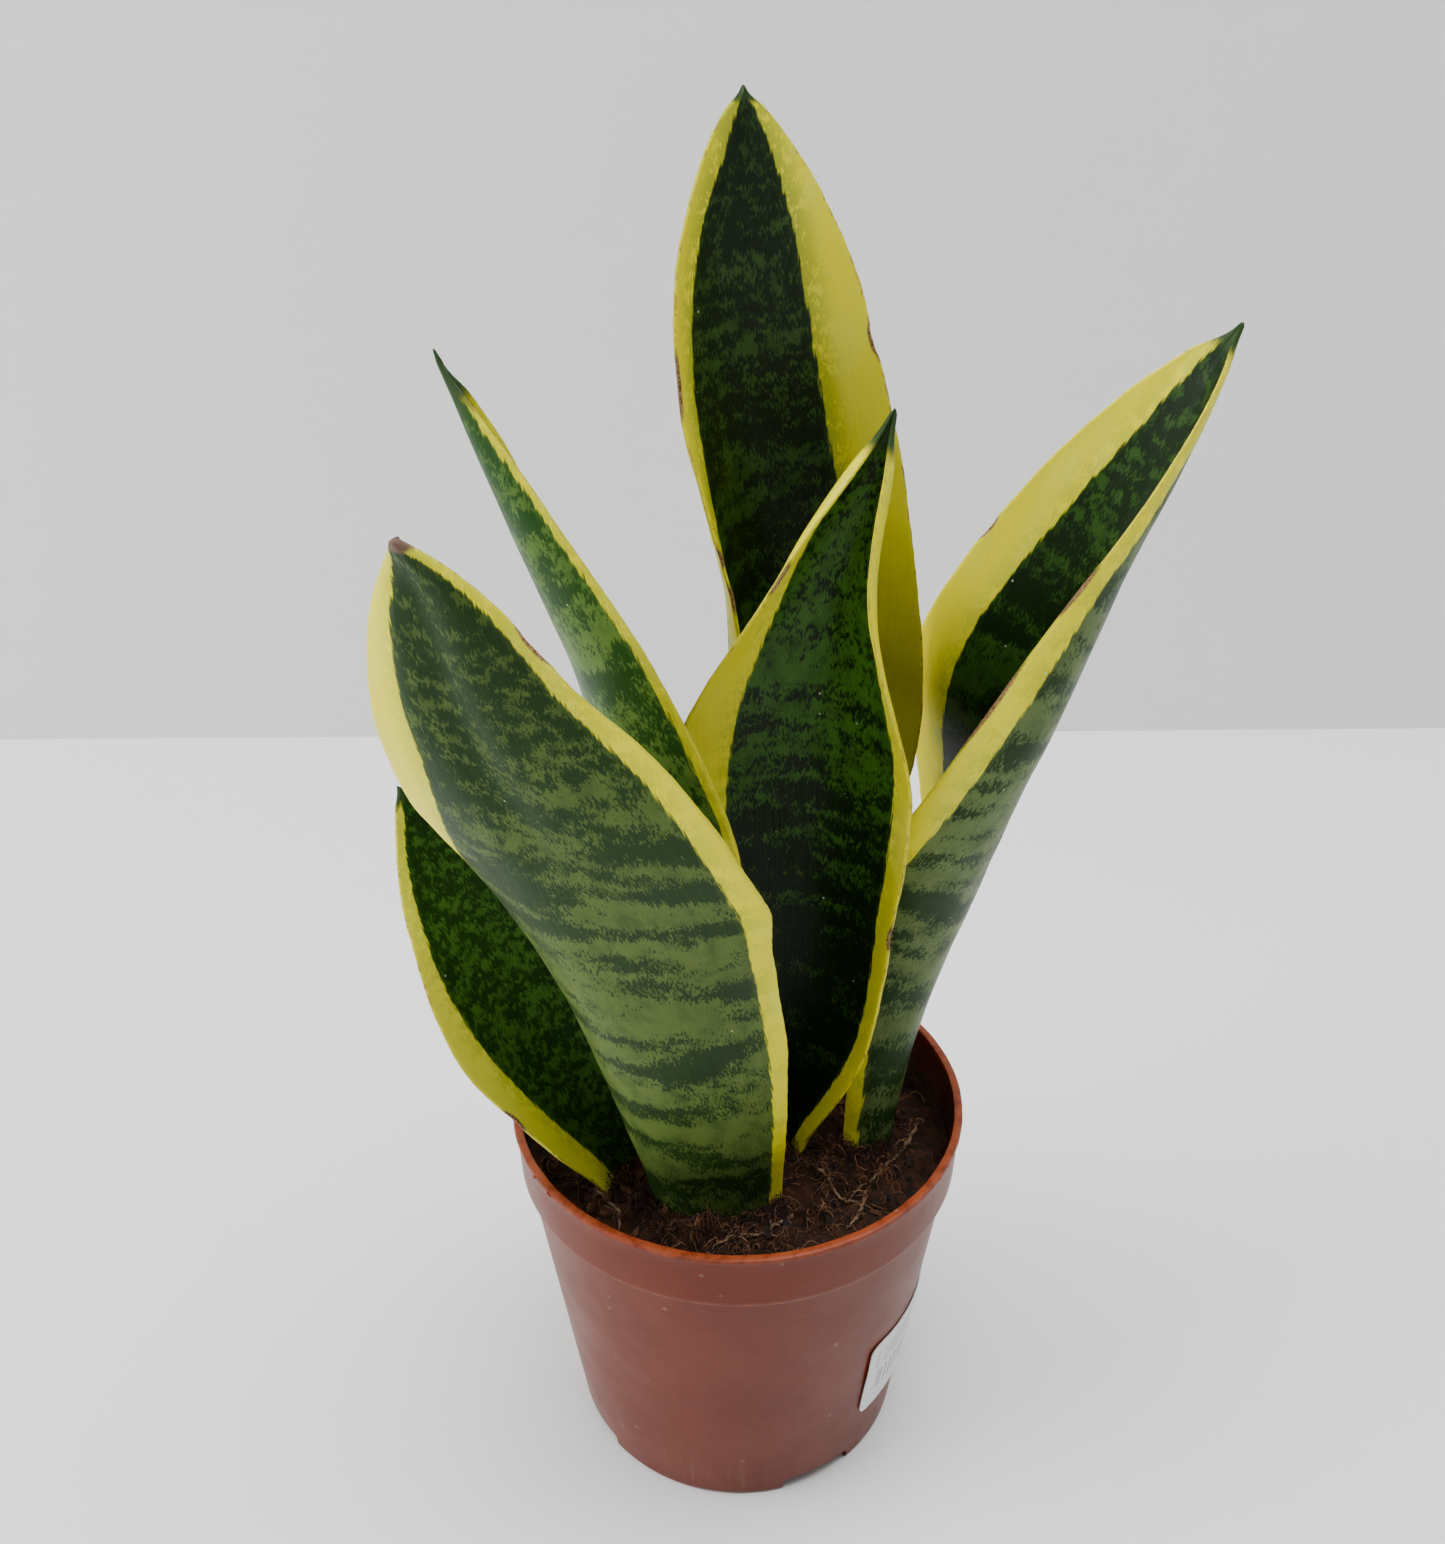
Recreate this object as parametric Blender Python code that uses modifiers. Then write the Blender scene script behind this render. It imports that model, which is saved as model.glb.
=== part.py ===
"""Potted snake plant: nursery pot, potting mix, six leaves, a blank label and loose surface roots.

Frame: origin at the centre of the pot's underside pad on the table, +Z up, -Y towards the front.
Sizes at the top are in millimetres.  Leaf plans are drawn for a pot with a 60 mm rim radius and
follow the rim radius and the height of the potting mix when those change.
"""
import math
from dataclasses import dataclass

import bmesh
import bpy
import numpy as np

MM = 0.001

# Pot
RIM_RADIUS = 60.0
POT_HEIGHT = 105.0
BASE_RATIO = 0.76          # base radius over rim radius
WALL = 1.3
LIP_WIDTH = 2.2
LIP_HEIGHT = 1.6
LIP_OVERHANG = 0.7
COLLAR_HEIGHT = 16.5
COLLAR_STEP = 1.5
COLLAR_DRAFT = 0.5
FLOOR_RISE = 4.5
FLOOR_THICKNESS = 1.5
FOOT_WIDTH = 2.6
FOOT_COUNT = 4
FOOT_NOTCH_ARC = 26.0      # degrees left open between two feet
FOOT_CENTRE = -107.0       # direction of the first foot's middle, degrees from +X
PAD_RADIUS = 9.0
DRAIN_RADIUS = 3.4
DRAIN_RING = 0.62          # drain hole circle over the base radius
DRAIN_COUNT = 5
POT_STEPS = 72

# Potting mix
MIX_DROP = 13.0            # surface below the rim
MIX_DIP = 6.0              # how far the surface sinks at the back right
MIX_LUMP = 0.9
MIX_STEPS = 48
CLEARANCE = 0.3            # gap between pieces that touch

# Label
LABEL_WIDTH = 44.0
LABEL_HEIGHT = 29.0
LABEL_CORNER = 3.0
LABEL_THICKNESS = 0.3
LABEL_BEARING = -23.0      # degrees from +X
LABEL_MIDDLE = 0.335       # height of its middle over the pot height

# Leaves
LEAF_ACROSS = 12
LEAF_ALONG = 30
MARGIN_THICKNESS = 0.8
BLADE_THICKNESS = 2.0
SHEATH_THICKNESS = 3.4
TIP_WIDTH = 0.9

# Surface roots
ROOT_RADIUS = 0.55

BASE_RADIUS = RIM_RADIUS * BASE_RATIO
MIX_TOP = POT_HEIGHT - MIX_DROP
PLANT_SCALE = RIM_RADIUS / 60.0
COLLAR_BOTTOM = POT_HEIGHT - COLLAR_HEIGHT


@dataclass
class LeafPlan:
    """One leaf, as stations at equal steps from its foot to its tip.

    Attributes:
        path: midrib points (x, y, height above the mix), mm in the 60 mm pot.
        width: blade width measured round its channel, mm.
        left: how far the left half turns up towards the channel side, degrees.
        right: the same for the right half.
        facing: direction the channel faces, degrees from +X.
        nod: how far the channel looks up, degrees.
        taper: how late the blade closes to its tip.
    """

    path: tuple
    width: tuple
    left: tuple
    right: tuple
    facing: tuple
    nod: float = 0.0
    taper: float = 8.0


LEAVES = {
    "leaf_tall": LeafPlan(
        path=((13, 22, -8), (15, 31, 48), (13, 34, 102), (12, 30, 151), (5, 22, 205), (2, 14, 259)),
        width=(24, 48, 72, 64, 61, 64), taper=8.5,
        left=(110, 100, 80, 102, 70, 45), right=(60, 45, 40, 35, 30, 40),
        facing=(-60, -60, -65, -75, -80, -85)),
    "leaf_right": LeafPlan(
        path=((37, -8, -8), (47, 4, 34), (62, 10, 75), (71, 9.5, 122), (85, 8, 166), (105, 4, 214)),
        width=(20, 37, 77, 76, 60, 44),
        left=(90, 62, 58, 22, 26, 40), right=(100, 92, 112, 143, 104, 62),
        facing=(150, 150, 168, 209, 208, 209)),
    "leaf_middle": LeafPlan(
        path=((6, -3, -8), (15, -2, 38), (17, 0, 80), (17, 0, 122), (21.5, -2, 162), (33, -4, 199)),
        width=(15, 46, 58, 61, 38, 22), taper=16.0,
        left=(70, 58, 37, 32, 90, 150), right=(80, 75, 75, 75, 118, 150),
        facing=(-95, -95, -95, -95, -95, -95)),
    "leaf_front": LeafPlan(
        path=((-8, -30, -8), (-18, -38, 36), (-27, -46, 76), (-37.5, -52, 114), (-54, -57, 154),
              (-61, -60, 192)),
        width=(40, 62, 75, 80, 60, 66), taper=7.5,
        left=(40, 35, 52, 10, 45, 50), right=(100, 125, 112, 52, 25, 50),
        facing=(85, 80, 75, 70, 65, 60)),
    "leaf_back_left": LeafPlan(
        path=((-14, -9, -8), (-19, -14, 43), (-23.5, -12, 88), (-33, -6, 133), (-48, -3, 173),
              (-62, 0, 211)),
        width=(18, 40, 58, 60, 40, 12), taper=10.0,
        left=(90, 75, 62, 58, 70, 90), right=(90, 95, 60, 20, 30, 90),
        facing=(45, 45, 35, 16, 8, 0)),
    "leaf_low_left": LeafPlan(
        path=((-23, -14, -8), (-40, -11, 18), (-52, -7, 44), (-60, -4, 66), (-70, -2, 88),
              (-81, 0, 108)),
        width=(15, 40, 52, 50, 40, 30), nod=20.0,
        left=(70, 60, 40, 35, 35, 50), right=(70, 60, 45, 35, 35, 50),
        facing=(-50, -48, -52, -56, -60, -60)),
}

# Loose roots on the mix: plan points in mm in the 60 mm pot, followed over the surface.
ROOTS = {
    "root_strand_1": ((50, 3), (44, -9), (38, -17), (33, -24), (31, -33), (27, -38)),
    "root_strand_2": ((18, -15), (23, -19), (25, -26), (31, -29)),
    "root_strand_3": ((-37, -24), (-31, -31), (-30, -38)),
    "root_strand_4": ((14, -33), (8, -38), (1, -40), (-7, -44)),
}


def clear_scene():
    """Remove every object the session starts with."""
    for obj in list(bpy.data.objects):
        bpy.data.objects.remove(obj, do_unlink=True)


def collection(name):
    """Make a collection under the scene.

    Args:
        name: the collection's name.

    Returns:
        The new collection.
    """
    made = bpy.data.collections.new(name)
    bpy.context.scene.collection.children.link(made)
    return made


def material(name, colour, roughness):
    """Make a plain Principled material.

    Args:
        name: material and slot name.
        colour: linear base colour.
        roughness: surface roughness.

    Returns:
        The material.
    """
    made = bpy.data.materials.new(name)
    made.use_nodes = True
    shader = made.node_tree.nodes["Principled BSDF"]
    shader.inputs["Base Color"].default_value = (*colour, 1.0)
    shader.inputs["Roughness"].default_value = roughness
    return made


def add_object(name, mesh, target, finish=None):
    """Put a mesh into the scene as an object.

    Args:
        name: object name.
        mesh: its mesh.
        target: collection it goes in.
        finish: material, or None for a cutter.

    Returns:
        The object.
    """
    obj = bpy.data.objects.new(name, mesh)
    target.objects.link(obj)
    if finish is None:
        obj.hide_render = True
        obj.display_type = "WIRE"
    else:
        mesh.materials.append(finish)
    return obj


def apply_modifiers(obj):
    """Bake an object's modifiers into its mesh.

    Args:
        obj: the object.
    """
    bpy.context.view_layer.update()
    depsgraph = bpy.context.evaluated_depsgraph_get()
    mesh = bpy.data.meshes.new_from_object(obj.evaluated_get(depsgraph), depsgraph=depsgraph)
    obj.modifiers.clear()
    obj.data = mesh


def cut(obj, cutter, operation="DIFFERENCE"):
    """Apply an exact Boolean.

    Args:
        obj: the object that is cut.
        cutter: the tool body.
        operation: Boolean operation name.
    """
    mod = obj.modifiers.new(cutter.name, "BOOLEAN")
    mod.operation = operation
    mod.solver = "EXACT"
    mod.object = cutter
    apply_modifiers(obj)


def turned(name, profile, steps, target, finish=None):
    """Turn a closed profile about Z.

    Args:
        name: object name.
        profile: closed loop of (radius, height) in mm.
        steps: steps round the turn.
        target: collection.
        finish: material, or None for a cutter.

    Returns:
        The turned object.
    """
    bm = bmesh.new()
    ring = [bm.verts.new((r * MM, 0.0, z * MM)) for r, z in profile]
    closed = profile[0][0] > 0.0 or profile[-1][0] > 0.0
    for index in range(len(ring) if closed else len(ring) - 1):
        bm.edges.new((ring[index], ring[(index + 1) % len(ring)]))
    mesh = bpy.data.meshes.new(name)
    bm.to_mesh(mesh)
    bm.free()
    obj = add_object(name, mesh, target, finish)
    mod = obj.modifiers.new("turn", "SCREW")
    mod.angle = 2.0 * math.pi
    mod.axis = "Z"
    mod.steps = steps
    mod.render_steps = steps
    mod.use_merge_vertices = True
    mod.merge_threshold = 0.00001
    apply_modifiers(obj)
    fix_normals(obj)
    return obj


def fix_normals(obj):
    """Turn an object's faces outward.

    Args:
        obj: the object.
    """
    bm = bmesh.new()
    bm.from_mesh(obj.data)
    bmesh.ops.recalc_face_normals(bm, faces=bm.faces)
    bm.to_mesh(obj.data)
    bm.free()


def round_off(obj, angle):
    """Shade an object smooth except at its sharp edges.

    Args:
        obj: the object.
        angle: edges sharper than this stay sharp, degrees.
    """
    obj.data.shade_smooth()
    obj.data.set_sharp_from_angle(angle=math.radians(angle))


def wall_radius(height):
    """Outside radius of the pot's tapered body.

    Args:
        height: height above the table, mm.

    Returns:
        The radius in mm.
    """
    top = RIM_RADIUS - LIP_OVERHANG - COLLAR_DRAFT - COLLAR_STEP
    return BASE_RADIUS + (top - BASE_RADIUS) * height / COLLAR_BOTTOM


def build_pot(parts, cutters, finish):
    """Build the pot: lip, collar, tapered body, raised floor, feet and drain holes.

    Args:
        parts: collection for the part.
        cutters: collection for the cutters.
        finish: its material.

    Returns:
        The pot.
    """
    collar_top = RIM_RADIUS - LIP_OVERHANG
    collar_low = collar_top - COLLAR_DRAFT
    floor_top = FLOOR_RISE + FLOOR_THICKNESS
    inner_top = RIM_RADIUS - LIP_WIDTH
    bore = collar_low - WALL
    profile = [
        (inner_top, POT_HEIGHT - 0.3), (inner_top + 0.3, POT_HEIGHT), (RIM_RADIUS - 0.5, POT_HEIGHT),
        (RIM_RADIUS, POT_HEIGHT - 0.5), (RIM_RADIUS, POT_HEIGHT - LIP_HEIGHT),
        (collar_top, POT_HEIGHT - LIP_HEIGHT - 0.3), (collar_low, COLLAR_BOTTOM + 0.3),
        (collar_low - 0.3, COLLAR_BOTTOM), (wall_radius(COLLAR_BOTTOM), COLLAR_BOTTOM - 0.6),
        (wall_radius(1.0), 1.0), (BASE_RADIUS - 0.8, 0.0), (BASE_RADIUS - FOOT_WIDTH, 0.0),
        (BASE_RADIUS - FOOT_WIDTH - 0.4, FLOOR_RISE), (PAD_RADIUS + 1.0, FLOOR_RISE), (PAD_RADIUS, 0.0),
        (0.0, 0.0), (0.0, floor_top), (wall_radius(floor_top) - WALL - 1.5, floor_top),
        (wall_radius(floor_top) - WALL, floor_top + 1.5),
        (wall_radius(COLLAR_BOTTOM) - WALL, COLLAR_BOTTOM - 1.0), (bore, COLLAR_BOTTOM + 0.6),
        (inner_top, POT_HEIGHT - LIP_HEIGHT - 1.0),
    ]
    pot = turned("pot", profile, POT_STEPS, parts, finish)

    notch_width = 2.0 * BASE_RADIUS * math.sin(math.radians(FOOT_NOTCH_ARC / 2.0))
    for index in range(FOOT_COUNT):
        turn = math.radians(FOOT_CENTRE + (index + 0.5) * 360.0 / FOOT_COUNT)
        bm = bmesh.new()
        bmesh.ops.create_cube(bm, size=1.0)
        bmesh.ops.scale(bm, vec=(16.0 * MM, notch_width * MM, 2.0 * FLOOR_RISE * MM), verts=bm.verts)
        upper = [e for e in bm.edges if min(v.co.z for v in e.verts) > 0.0 and
                 abs(e.verts[0].co.y - e.verts[1].co.y) < 1e-9]
        bmesh.ops.bevel(bm, geom=upper, offset=1.6 * MM, segments=3, profile=0.5, affect="EDGES")
        mesh = bpy.data.meshes.new(f"notch_{index}")
        bm.to_mesh(mesh)
        bm.free()
        tool = add_object(f"notch_{index}", mesh, cutters)
        tool.location = (BASE_RADIUS * MM * math.cos(turn), BASE_RADIUS * MM * math.sin(turn), 0.0)
        tool.rotation_euler = (0.0, 0.0, turn)
        cut(pot, tool)
    for index in range(DRAIN_COUNT):
        turn = math.radians(90.0 + index * 360.0 / DRAIN_COUNT)
        reach = BASE_RADIUS * DRAIN_RING * MM
        bm = bmesh.new()
        bmesh.ops.create_cone(bm, cap_ends=True, segments=24, radius1=DRAIN_RADIUS * MM,
                              radius2=DRAIN_RADIUS * MM, depth=4.0 * floor_top * MM)
        mesh = bpy.data.meshes.new(f"drain_{index}")
        bm.to_mesh(mesh)
        bm.free()
        tool = add_object(f"drain_{index}", mesh, cutters)
        tool.location = (reach * math.cos(turn), reach * math.sin(turn), 0.0)
        cut(pot, tool)
    round_off(pot, 35.0)
    return pot


def mix_height(x, y):
    """Height of the potting mix.

    Args:
        x, y: plan position, mm.

    Returns:
        The surface height above the table, mm.
    """
    px, py = x / PLANT_SCALE, y / PLANT_SCALE
    reach = min(max((0.8 * px + 0.6 * py - 18.0) / 36.0, 0.0), 1.0)
    lumps = (math.sin(0.31 * px + 1.3) * math.cos(0.27 * py - 0.4)
             + 0.6 * math.sin(0.53 * px - 0.47 * py + 2.1)
             + 0.4 * math.cos(0.71 * py + 0.19 * px))
    return MIX_TOP - MIX_DIP * reach * reach + MIX_LUMP * lumps


def build_mix(parts, finish):
    """Build the potting mix as one solid that fills the pot with a small gap.

    Args:
        parts: collection for the part.
        finish: its material.

    Returns:
        The potting mix, before the leaf sockets are cut.
    """
    floor_top = FLOOR_RISE + FLOOR_THICKNESS + CLEARANCE
    inner = WALL + CLEARANCE
    wall_low = COLLAR_BOTTOM - 1.0
    side_low = MIX_TOP - 2.0 * MIX_LUMP
    if COLLAR_BOTTOM + 1.4 < side_low:          # the surface lies inside the collar
        edge = RIM_RADIUS - LIP_OVERHANG - COLLAR_DRAFT - inner - 0.2
        side_low = COLLAR_BOTTOM + 1.4
        side = [(edge, side_low), (wall_radius(wall_low) - inner - 0.2, wall_low)]
    else:                                       # it lies in the tapered body below it
        side_low = min(side_low, wall_low)
        edge = wall_radius(side_low) - inner - 0.2
        side = [(edge, side_low)]
    rings = [(0.0, MIX_TOP)]
    rings += [(edge * k / 7.0, MIX_TOP) for k in range(1, 8)]
    profile = rings + side + [(wall_radius(floor_top + 2.0) - inner - 0.2, floor_top + 2.0),
                              (wall_radius(floor_top) - inner - 2.0, floor_top),
                              (0.0, floor_top)]
    mix = turned("potting_mix", profile, MIX_STEPS, parts, finish)
    for vert in mix.data.vertices:
        x, y, z = (c / MM for c in vert.co)
        if z > MIX_TOP - 0.001:
            vert.co.z = mix_height(x, y) * MM
            if math.hypot(x, y) > edge - 0.01:
                vert.co.z = max(vert.co.z, (side_low + 0.2) * MM)
    return mix


def through(stations, t):
    """Smooth curve through equally spaced stations.

    Args:
        stations: station values, one row each.
        t: positions from 0 to 1.

    Returns:
        The values at each position.
    """
    rows = np.asarray(stations, float)
    rows = rows[:, None] if rows.ndim == 1 else rows
    rows = np.vstack([2 * rows[0] - rows[1], rows, 2 * rows[-1] - rows[-2]])
    place = np.clip(t * (len(rows) - 3), 0.0, len(rows) - 3 - 1e-9)
    k = place.astype(int)
    f = (place - k)[:, None]
    a, b, c, d = rows[k], rows[k + 1], rows[k + 2], rows[k + 3]
    out = 0.5 * (2 * b + (c - a) * f + (2 * a - 5 * b + 4 * c - d) * f ** 2
                 + (3 * b - a - 3 * c + d) * f ** 3)
    return out if out.shape[1] > 1 else out[:, 0]


def build_leaf(name, plan, target, finish=None, grow=0.0):
    """Build one channelled leaf: a grid bent along its midrib, then thickened.

    Args:
        name: object name.
        plan: the leaf's stations.
        target: collection.
        finish: material, or None for a socket cutter.
        grow: how much bigger all round than the leaf, mm.

    Returns:
        The leaf, or its cutter.
    """
    t = np.linspace(0.0, 1.0, LEAF_ALONG + 1)
    scale = np.array([PLANT_SCALE, PLANT_SCALE, PLANT_SCALE])
    path = through(plan.path, t) * scale
    tangent = np.gradient(path, axis=0)
    tangent /= np.linalg.norm(tangent, axis=1)[:, None]
    path[0] -= tangent[0] * grow
    facing = np.radians(through(plan.facing, t))
    nod = math.radians(plan.nod)
    look = np.stack([np.cos(facing) * math.cos(nod), np.sin(facing) * math.cos(nod),
                     np.full_like(facing, math.sin(nod))], axis=1)
    inward = look - (look * tangent).sum(axis=1)[:, None] * tangent
    inward /= np.linalg.norm(inward, axis=1)[:, None]
    side = np.cross(tangent, inward)
    width = through(plan.width, t) * PLANT_SCALE * (1.0 - t ** plan.taper) + TIP_WIDTH
    turn = {-1: np.radians(through(plan.left, t)), 1: np.radians(through(plan.right, t))}

    bm = bmesh.new()
    bmesh.ops.create_grid(bm, x_segments=LEAF_ACROSS, y_segments=LEAF_ALONG, size=1.0)
    bm.verts.ensure_lookup_table()
    thickness = BLADE_THICKNESS + 2.0 * grow
    full = SHEATH_THICKNESS + 2.0 * grow
    weights = []
    for vert in bm.verts:
        u = vert.co.x
        row = int(round((vert.co.y + 1.0) / 2.0 * LEAF_ALONG))
        hand = -1 if u < 0.0 else 1
        bend = max(turn[hand][row], 0.02)
        half = width[row] / 2.0
        past = grow if abs(u) > 0.999 else 0.0
        along = (half * math.sin(bend * abs(u)) / bend + past * math.cos(bend)) * hand
        out = half * (1.0 - math.cos(bend * abs(u))) / bend + past * math.sin(bend)
        vert.co = (path[row] + side[row] * along + inward[row] * out + (0, 0, MIX_TOP)) * MM
        blend = (1.0 - t[row]) ** 3
        middle = thickness + (full - thickness) * blend - 0.8 * t[row] ** 6
        edge = MARGIN_THICKNESS + 2.0 * grow
        weights.append((edge + (middle - edge) * (1.0 - abs(u) ** 2.5)) / full)
    mesh = bpy.data.meshes.new(name)
    bm.to_mesh(mesh)
    bm.free()
    obj = add_object(name, mesh, target, finish)
    group = obj.vertex_groups.new(name="thickness")
    for index, weight in enumerate(weights):
        group.add([index], weight, "REPLACE")
    mod = obj.modifiers.new("thickness", "SOLIDIFY")
    mod.thickness = full * MM
    mod.offset = 0.0
    mod.vertex_group = "thickness"
    apply_modifiers(obj)
    fix_normals(obj)
    round_off(obj, 60.0)
    return obj


def build_label(parts, cutters, finish):
    """Build the blank label: a thin band of the pot's cone with rounded corners.

    Args:
        parts: collection for the part.
        cutters: collection for the cutters.
        finish: its material.

    Returns:
        The label.
    """
    middle = LABEL_MIDDLE * POT_HEIGHT
    low, high = middle - LABEL_HEIGHT / 2.0, middle + LABEL_HEIGHT / 2.0
    inner, outer = CLEARANCE, CLEARANCE + LABEL_THICKNESS
    profile = [(wall_radius(high + 2) + inner, high + 2), (wall_radius(high + 2) + outer, high + 2),
               (wall_radius(low - 2) + outer, low - 2), (wall_radius(low - 2) + inner, low - 2)]
    label = turned("label", profile, 2 * POT_STEPS, parts, finish)
    reach = wall_radius(middle)
    chord = 2.0 * reach * math.sin(LABEL_WIDTH / reach / 2.0)
    turn = math.radians(LABEL_BEARING)
    bm = bmesh.new()
    bmesh.ops.create_cube(bm, size=1.0)
    bmesh.ops.scale(bm, vec=(reach * MM, chord * MM, LABEL_HEIGHT * MM), verts=bm.verts)
    corners = [e for e in bm.edges if abs(e.verts[0].co.x - e.verts[1].co.x) > 1e-9]
    bmesh.ops.bevel(bm, geom=corners, offset=LABEL_CORNER * MM, segments=4, profile=0.5, affect="EDGES")
    mesh = bpy.data.meshes.new("label_outline")
    bm.to_mesh(mesh)
    bm.free()
    tool = add_object("label_outline", mesh, cutters)
    centre = 1.1 * reach
    tool.location = (centre * MM * math.cos(turn), centre * MM * math.sin(turn), middle * MM)
    tool.rotation_euler = (0.0, 0.0, turn)
    cut(label, tool, "INTERSECT")
    round_off(label, 35.0)
    return label


def build_root(name, plan, target, finish=None, grow=0.0):
    """Build one loose root half sunk in the mix, as a bevelled curve.

    Args:
        name: object name.
        plan: plan points, mm in the 60 mm pot.
        target: collection.
        finish: material, or None for a groove cutter.
        grow: how much bigger all round than the root, mm.

    Returns:
        The root, or its cutter.
    """
    t = np.linspace(0.0, 1.0, 4 * (len(plan) - 1) + 1)
    line = through(plan, t) * PLANT_SCALE
    curve = bpy.data.curves.new(name, "CURVE")
    curve.dimensions = "3D"
    curve.bevel_depth = (ROOT_RADIUS + grow) * MM
    curve.bevel_resolution = 1
    curve.use_fill_caps = True
    spline = curve.splines.new("POLY")
    spline.points.add(len(line) - 1)
    points = [np.array((x, y, mix_height(x, y) + 0.35 * ROOT_RADIUS)) for x, y in line]
    for point, near in ((0, 1), (-1, -2)):
        away = points[point] - points[near]
        points[point] = points[point] + away / np.linalg.norm(away) * grow
    for point, place in zip(spline.points, points):
        point.co = (*(place * MM), 1.0)
    temporary = bpy.data.objects.new(name + "_line", curve)
    target.objects.link(temporary)
    bpy.context.view_layer.update()
    mesh = bpy.data.meshes.new_from_object(temporary.evaluated_get(
        bpy.context.evaluated_depsgraph_get()))
    bpy.data.objects.remove(temporary, do_unlink=True)
    bm = bmesh.new()
    bm.from_mesh(mesh)
    bmesh.ops.remove_doubles(bm, verts=bm.verts, dist=0.00001)
    bmesh.ops.recalc_face_normals(bm, faces=bm.faces)
    bm.to_mesh(mesh)
    bm.free()
    mesh.name = name
    mesh.materials.clear()
    obj = add_object(name, mesh, target, finish)
    round_off(obj, 50.0)
    return obj


def build():
    """Build every piece of the plant."""
    clear_scene()
    parts = collection("potted_snake_plant")
    cutters = collection("cutters")
    build_pot(parts, cutters, material("pot", (0.20, 0.055, 0.032), 0.38))
    mix = build_mix(parts, material("potting_mix", (0.045, 0.022, 0.012), 0.95))
    for name, plan in LEAVES.items():
        build_leaf(name, plan, parts, material(name, (0.09, 0.20, 0.05), 0.35))
        cut(mix, build_leaf(name + "_socket", plan, cutters, grow=CLEARANCE))
    for name, plan in ROOTS.items():
        build_root(name, plan, parts, material(name, (0.45, 0.33, 0.20), 0.8))
        cut(mix, build_root(name + "_groove", plan, cutters, grow=CLEARANCE))
    round_off(mix, 40.0)
    build_label(parts, cutters, material("label", (0.75, 0.76, 0.78), 0.45))


if __name__ == "__main__":
    build()
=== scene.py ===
"""Potted snake plant: fine leaves, nursery pot, potting mix, loose roots and a blank label.

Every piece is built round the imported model, in metres, with the origin under the middle of the
pot, +Z up and -Y towards the front.
"""

import logging
import math
from collections.abc import Callable
from dataclasses import dataclass, field
from enum import Enum

import bmesh
import bpy
import numpy as np
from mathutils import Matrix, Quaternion, Vector

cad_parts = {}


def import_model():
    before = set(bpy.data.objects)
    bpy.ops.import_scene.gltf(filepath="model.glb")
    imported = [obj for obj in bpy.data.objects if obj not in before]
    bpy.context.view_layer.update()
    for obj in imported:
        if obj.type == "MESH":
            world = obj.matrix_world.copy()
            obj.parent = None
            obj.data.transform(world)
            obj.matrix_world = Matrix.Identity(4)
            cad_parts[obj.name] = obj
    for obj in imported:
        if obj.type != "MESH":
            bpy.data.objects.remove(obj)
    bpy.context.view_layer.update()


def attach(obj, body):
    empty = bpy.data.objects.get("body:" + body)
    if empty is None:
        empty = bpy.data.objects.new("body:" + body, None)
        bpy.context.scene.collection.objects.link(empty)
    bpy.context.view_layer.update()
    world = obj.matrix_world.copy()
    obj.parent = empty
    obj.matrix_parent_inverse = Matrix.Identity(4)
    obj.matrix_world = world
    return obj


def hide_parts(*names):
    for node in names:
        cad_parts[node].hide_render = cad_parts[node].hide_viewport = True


LOG = logging.getLogger("snake_plant")
MM = 0.001
Colour = tuple[float, float, float]
Stations = tuple[float, ...]


class TipStyle(Enum):
    """How a leaf ends."""

    BLUNT = "blunt"
    SPINE = "spine"
    DRY = "dry"


class Side(Enum):
    """The two margins of a leaf, by the sign of the position across it."""

    LEFT = -1
    RIGHT = 1


# ---------------------------------------------------------------- workshop


def through(stations: tuple, t: np.ndarray) -> np.ndarray:
    """Draw a smooth curve through equally spaced stations.

    Args:
        stations: station values, one number or one row of numbers each.
        t: positions from 0 to 1.

    Returns:
        The values at each position.
    """
    rows = np.asarray(stations, float)
    rows = rows[:, None] if rows.ndim == 1 else rows
    rows = np.vstack([2 * rows[0] - rows[1], rows, 2 * rows[-1] - rows[-2]])
    place = np.clip(t * (len(rows) - 3), 0.0, len(rows) - 3 - 1e-9)
    k = place.astype(int)
    f = (place - k)[:, None]
    a, b, c, d = rows[k], rows[k + 1], rows[k + 2], rows[k + 3]
    out = 0.5 * (2 * b + (c - a) * f + (2 * a - 5 * b + 4 * c - d) * f**2 + (3 * b - a - 3 * c + d) * f**3)
    return out if out.shape[1] > 1 else out[:, 0]


def smooth(low: float, high: float, value: np.ndarray) -> np.ndarray:
    """Ease from 0 at low to 1 at high.

    Args:
        low: value where the result starts to rise.
        high: value where it reaches 1.
        value: what is tested.

    Returns:
        The eased result.
    """
    x = np.clip((np.asarray(value, float) - low) / (high - low), 0.0, 1.0)
    return x * x * (3.0 - 2.0 * x)


def ripple(x: np.ndarray, seed: float, octaves: int = 4) -> np.ndarray:
    """Sum a few unrelated sines into a wandering line between about -1 and 1.

    Args:
        x: position along the line.
        seed: shifts the phases.
        octaves: how many sines.

    Returns:
        The line's height.
    """
    total = np.zeros_like(np.asarray(x, float))
    for k in range(octaves):
        total = total + np.sin(x * 1.9**k + seed * (1.7 + 2.3 * k)) / 1.5**k
    return total / sum(1.0 / 1.5**k for k in range(octaves))


def turned(turn: float) -> np.ndarray:
    """Work out the matrix that turns rows of points about +Z by an angle in radians."""
    c, s = math.cos(turn), math.sin(turn)
    return np.array([[c, -s, 0], [s, c, 0], [0, 0, 1]])


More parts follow.
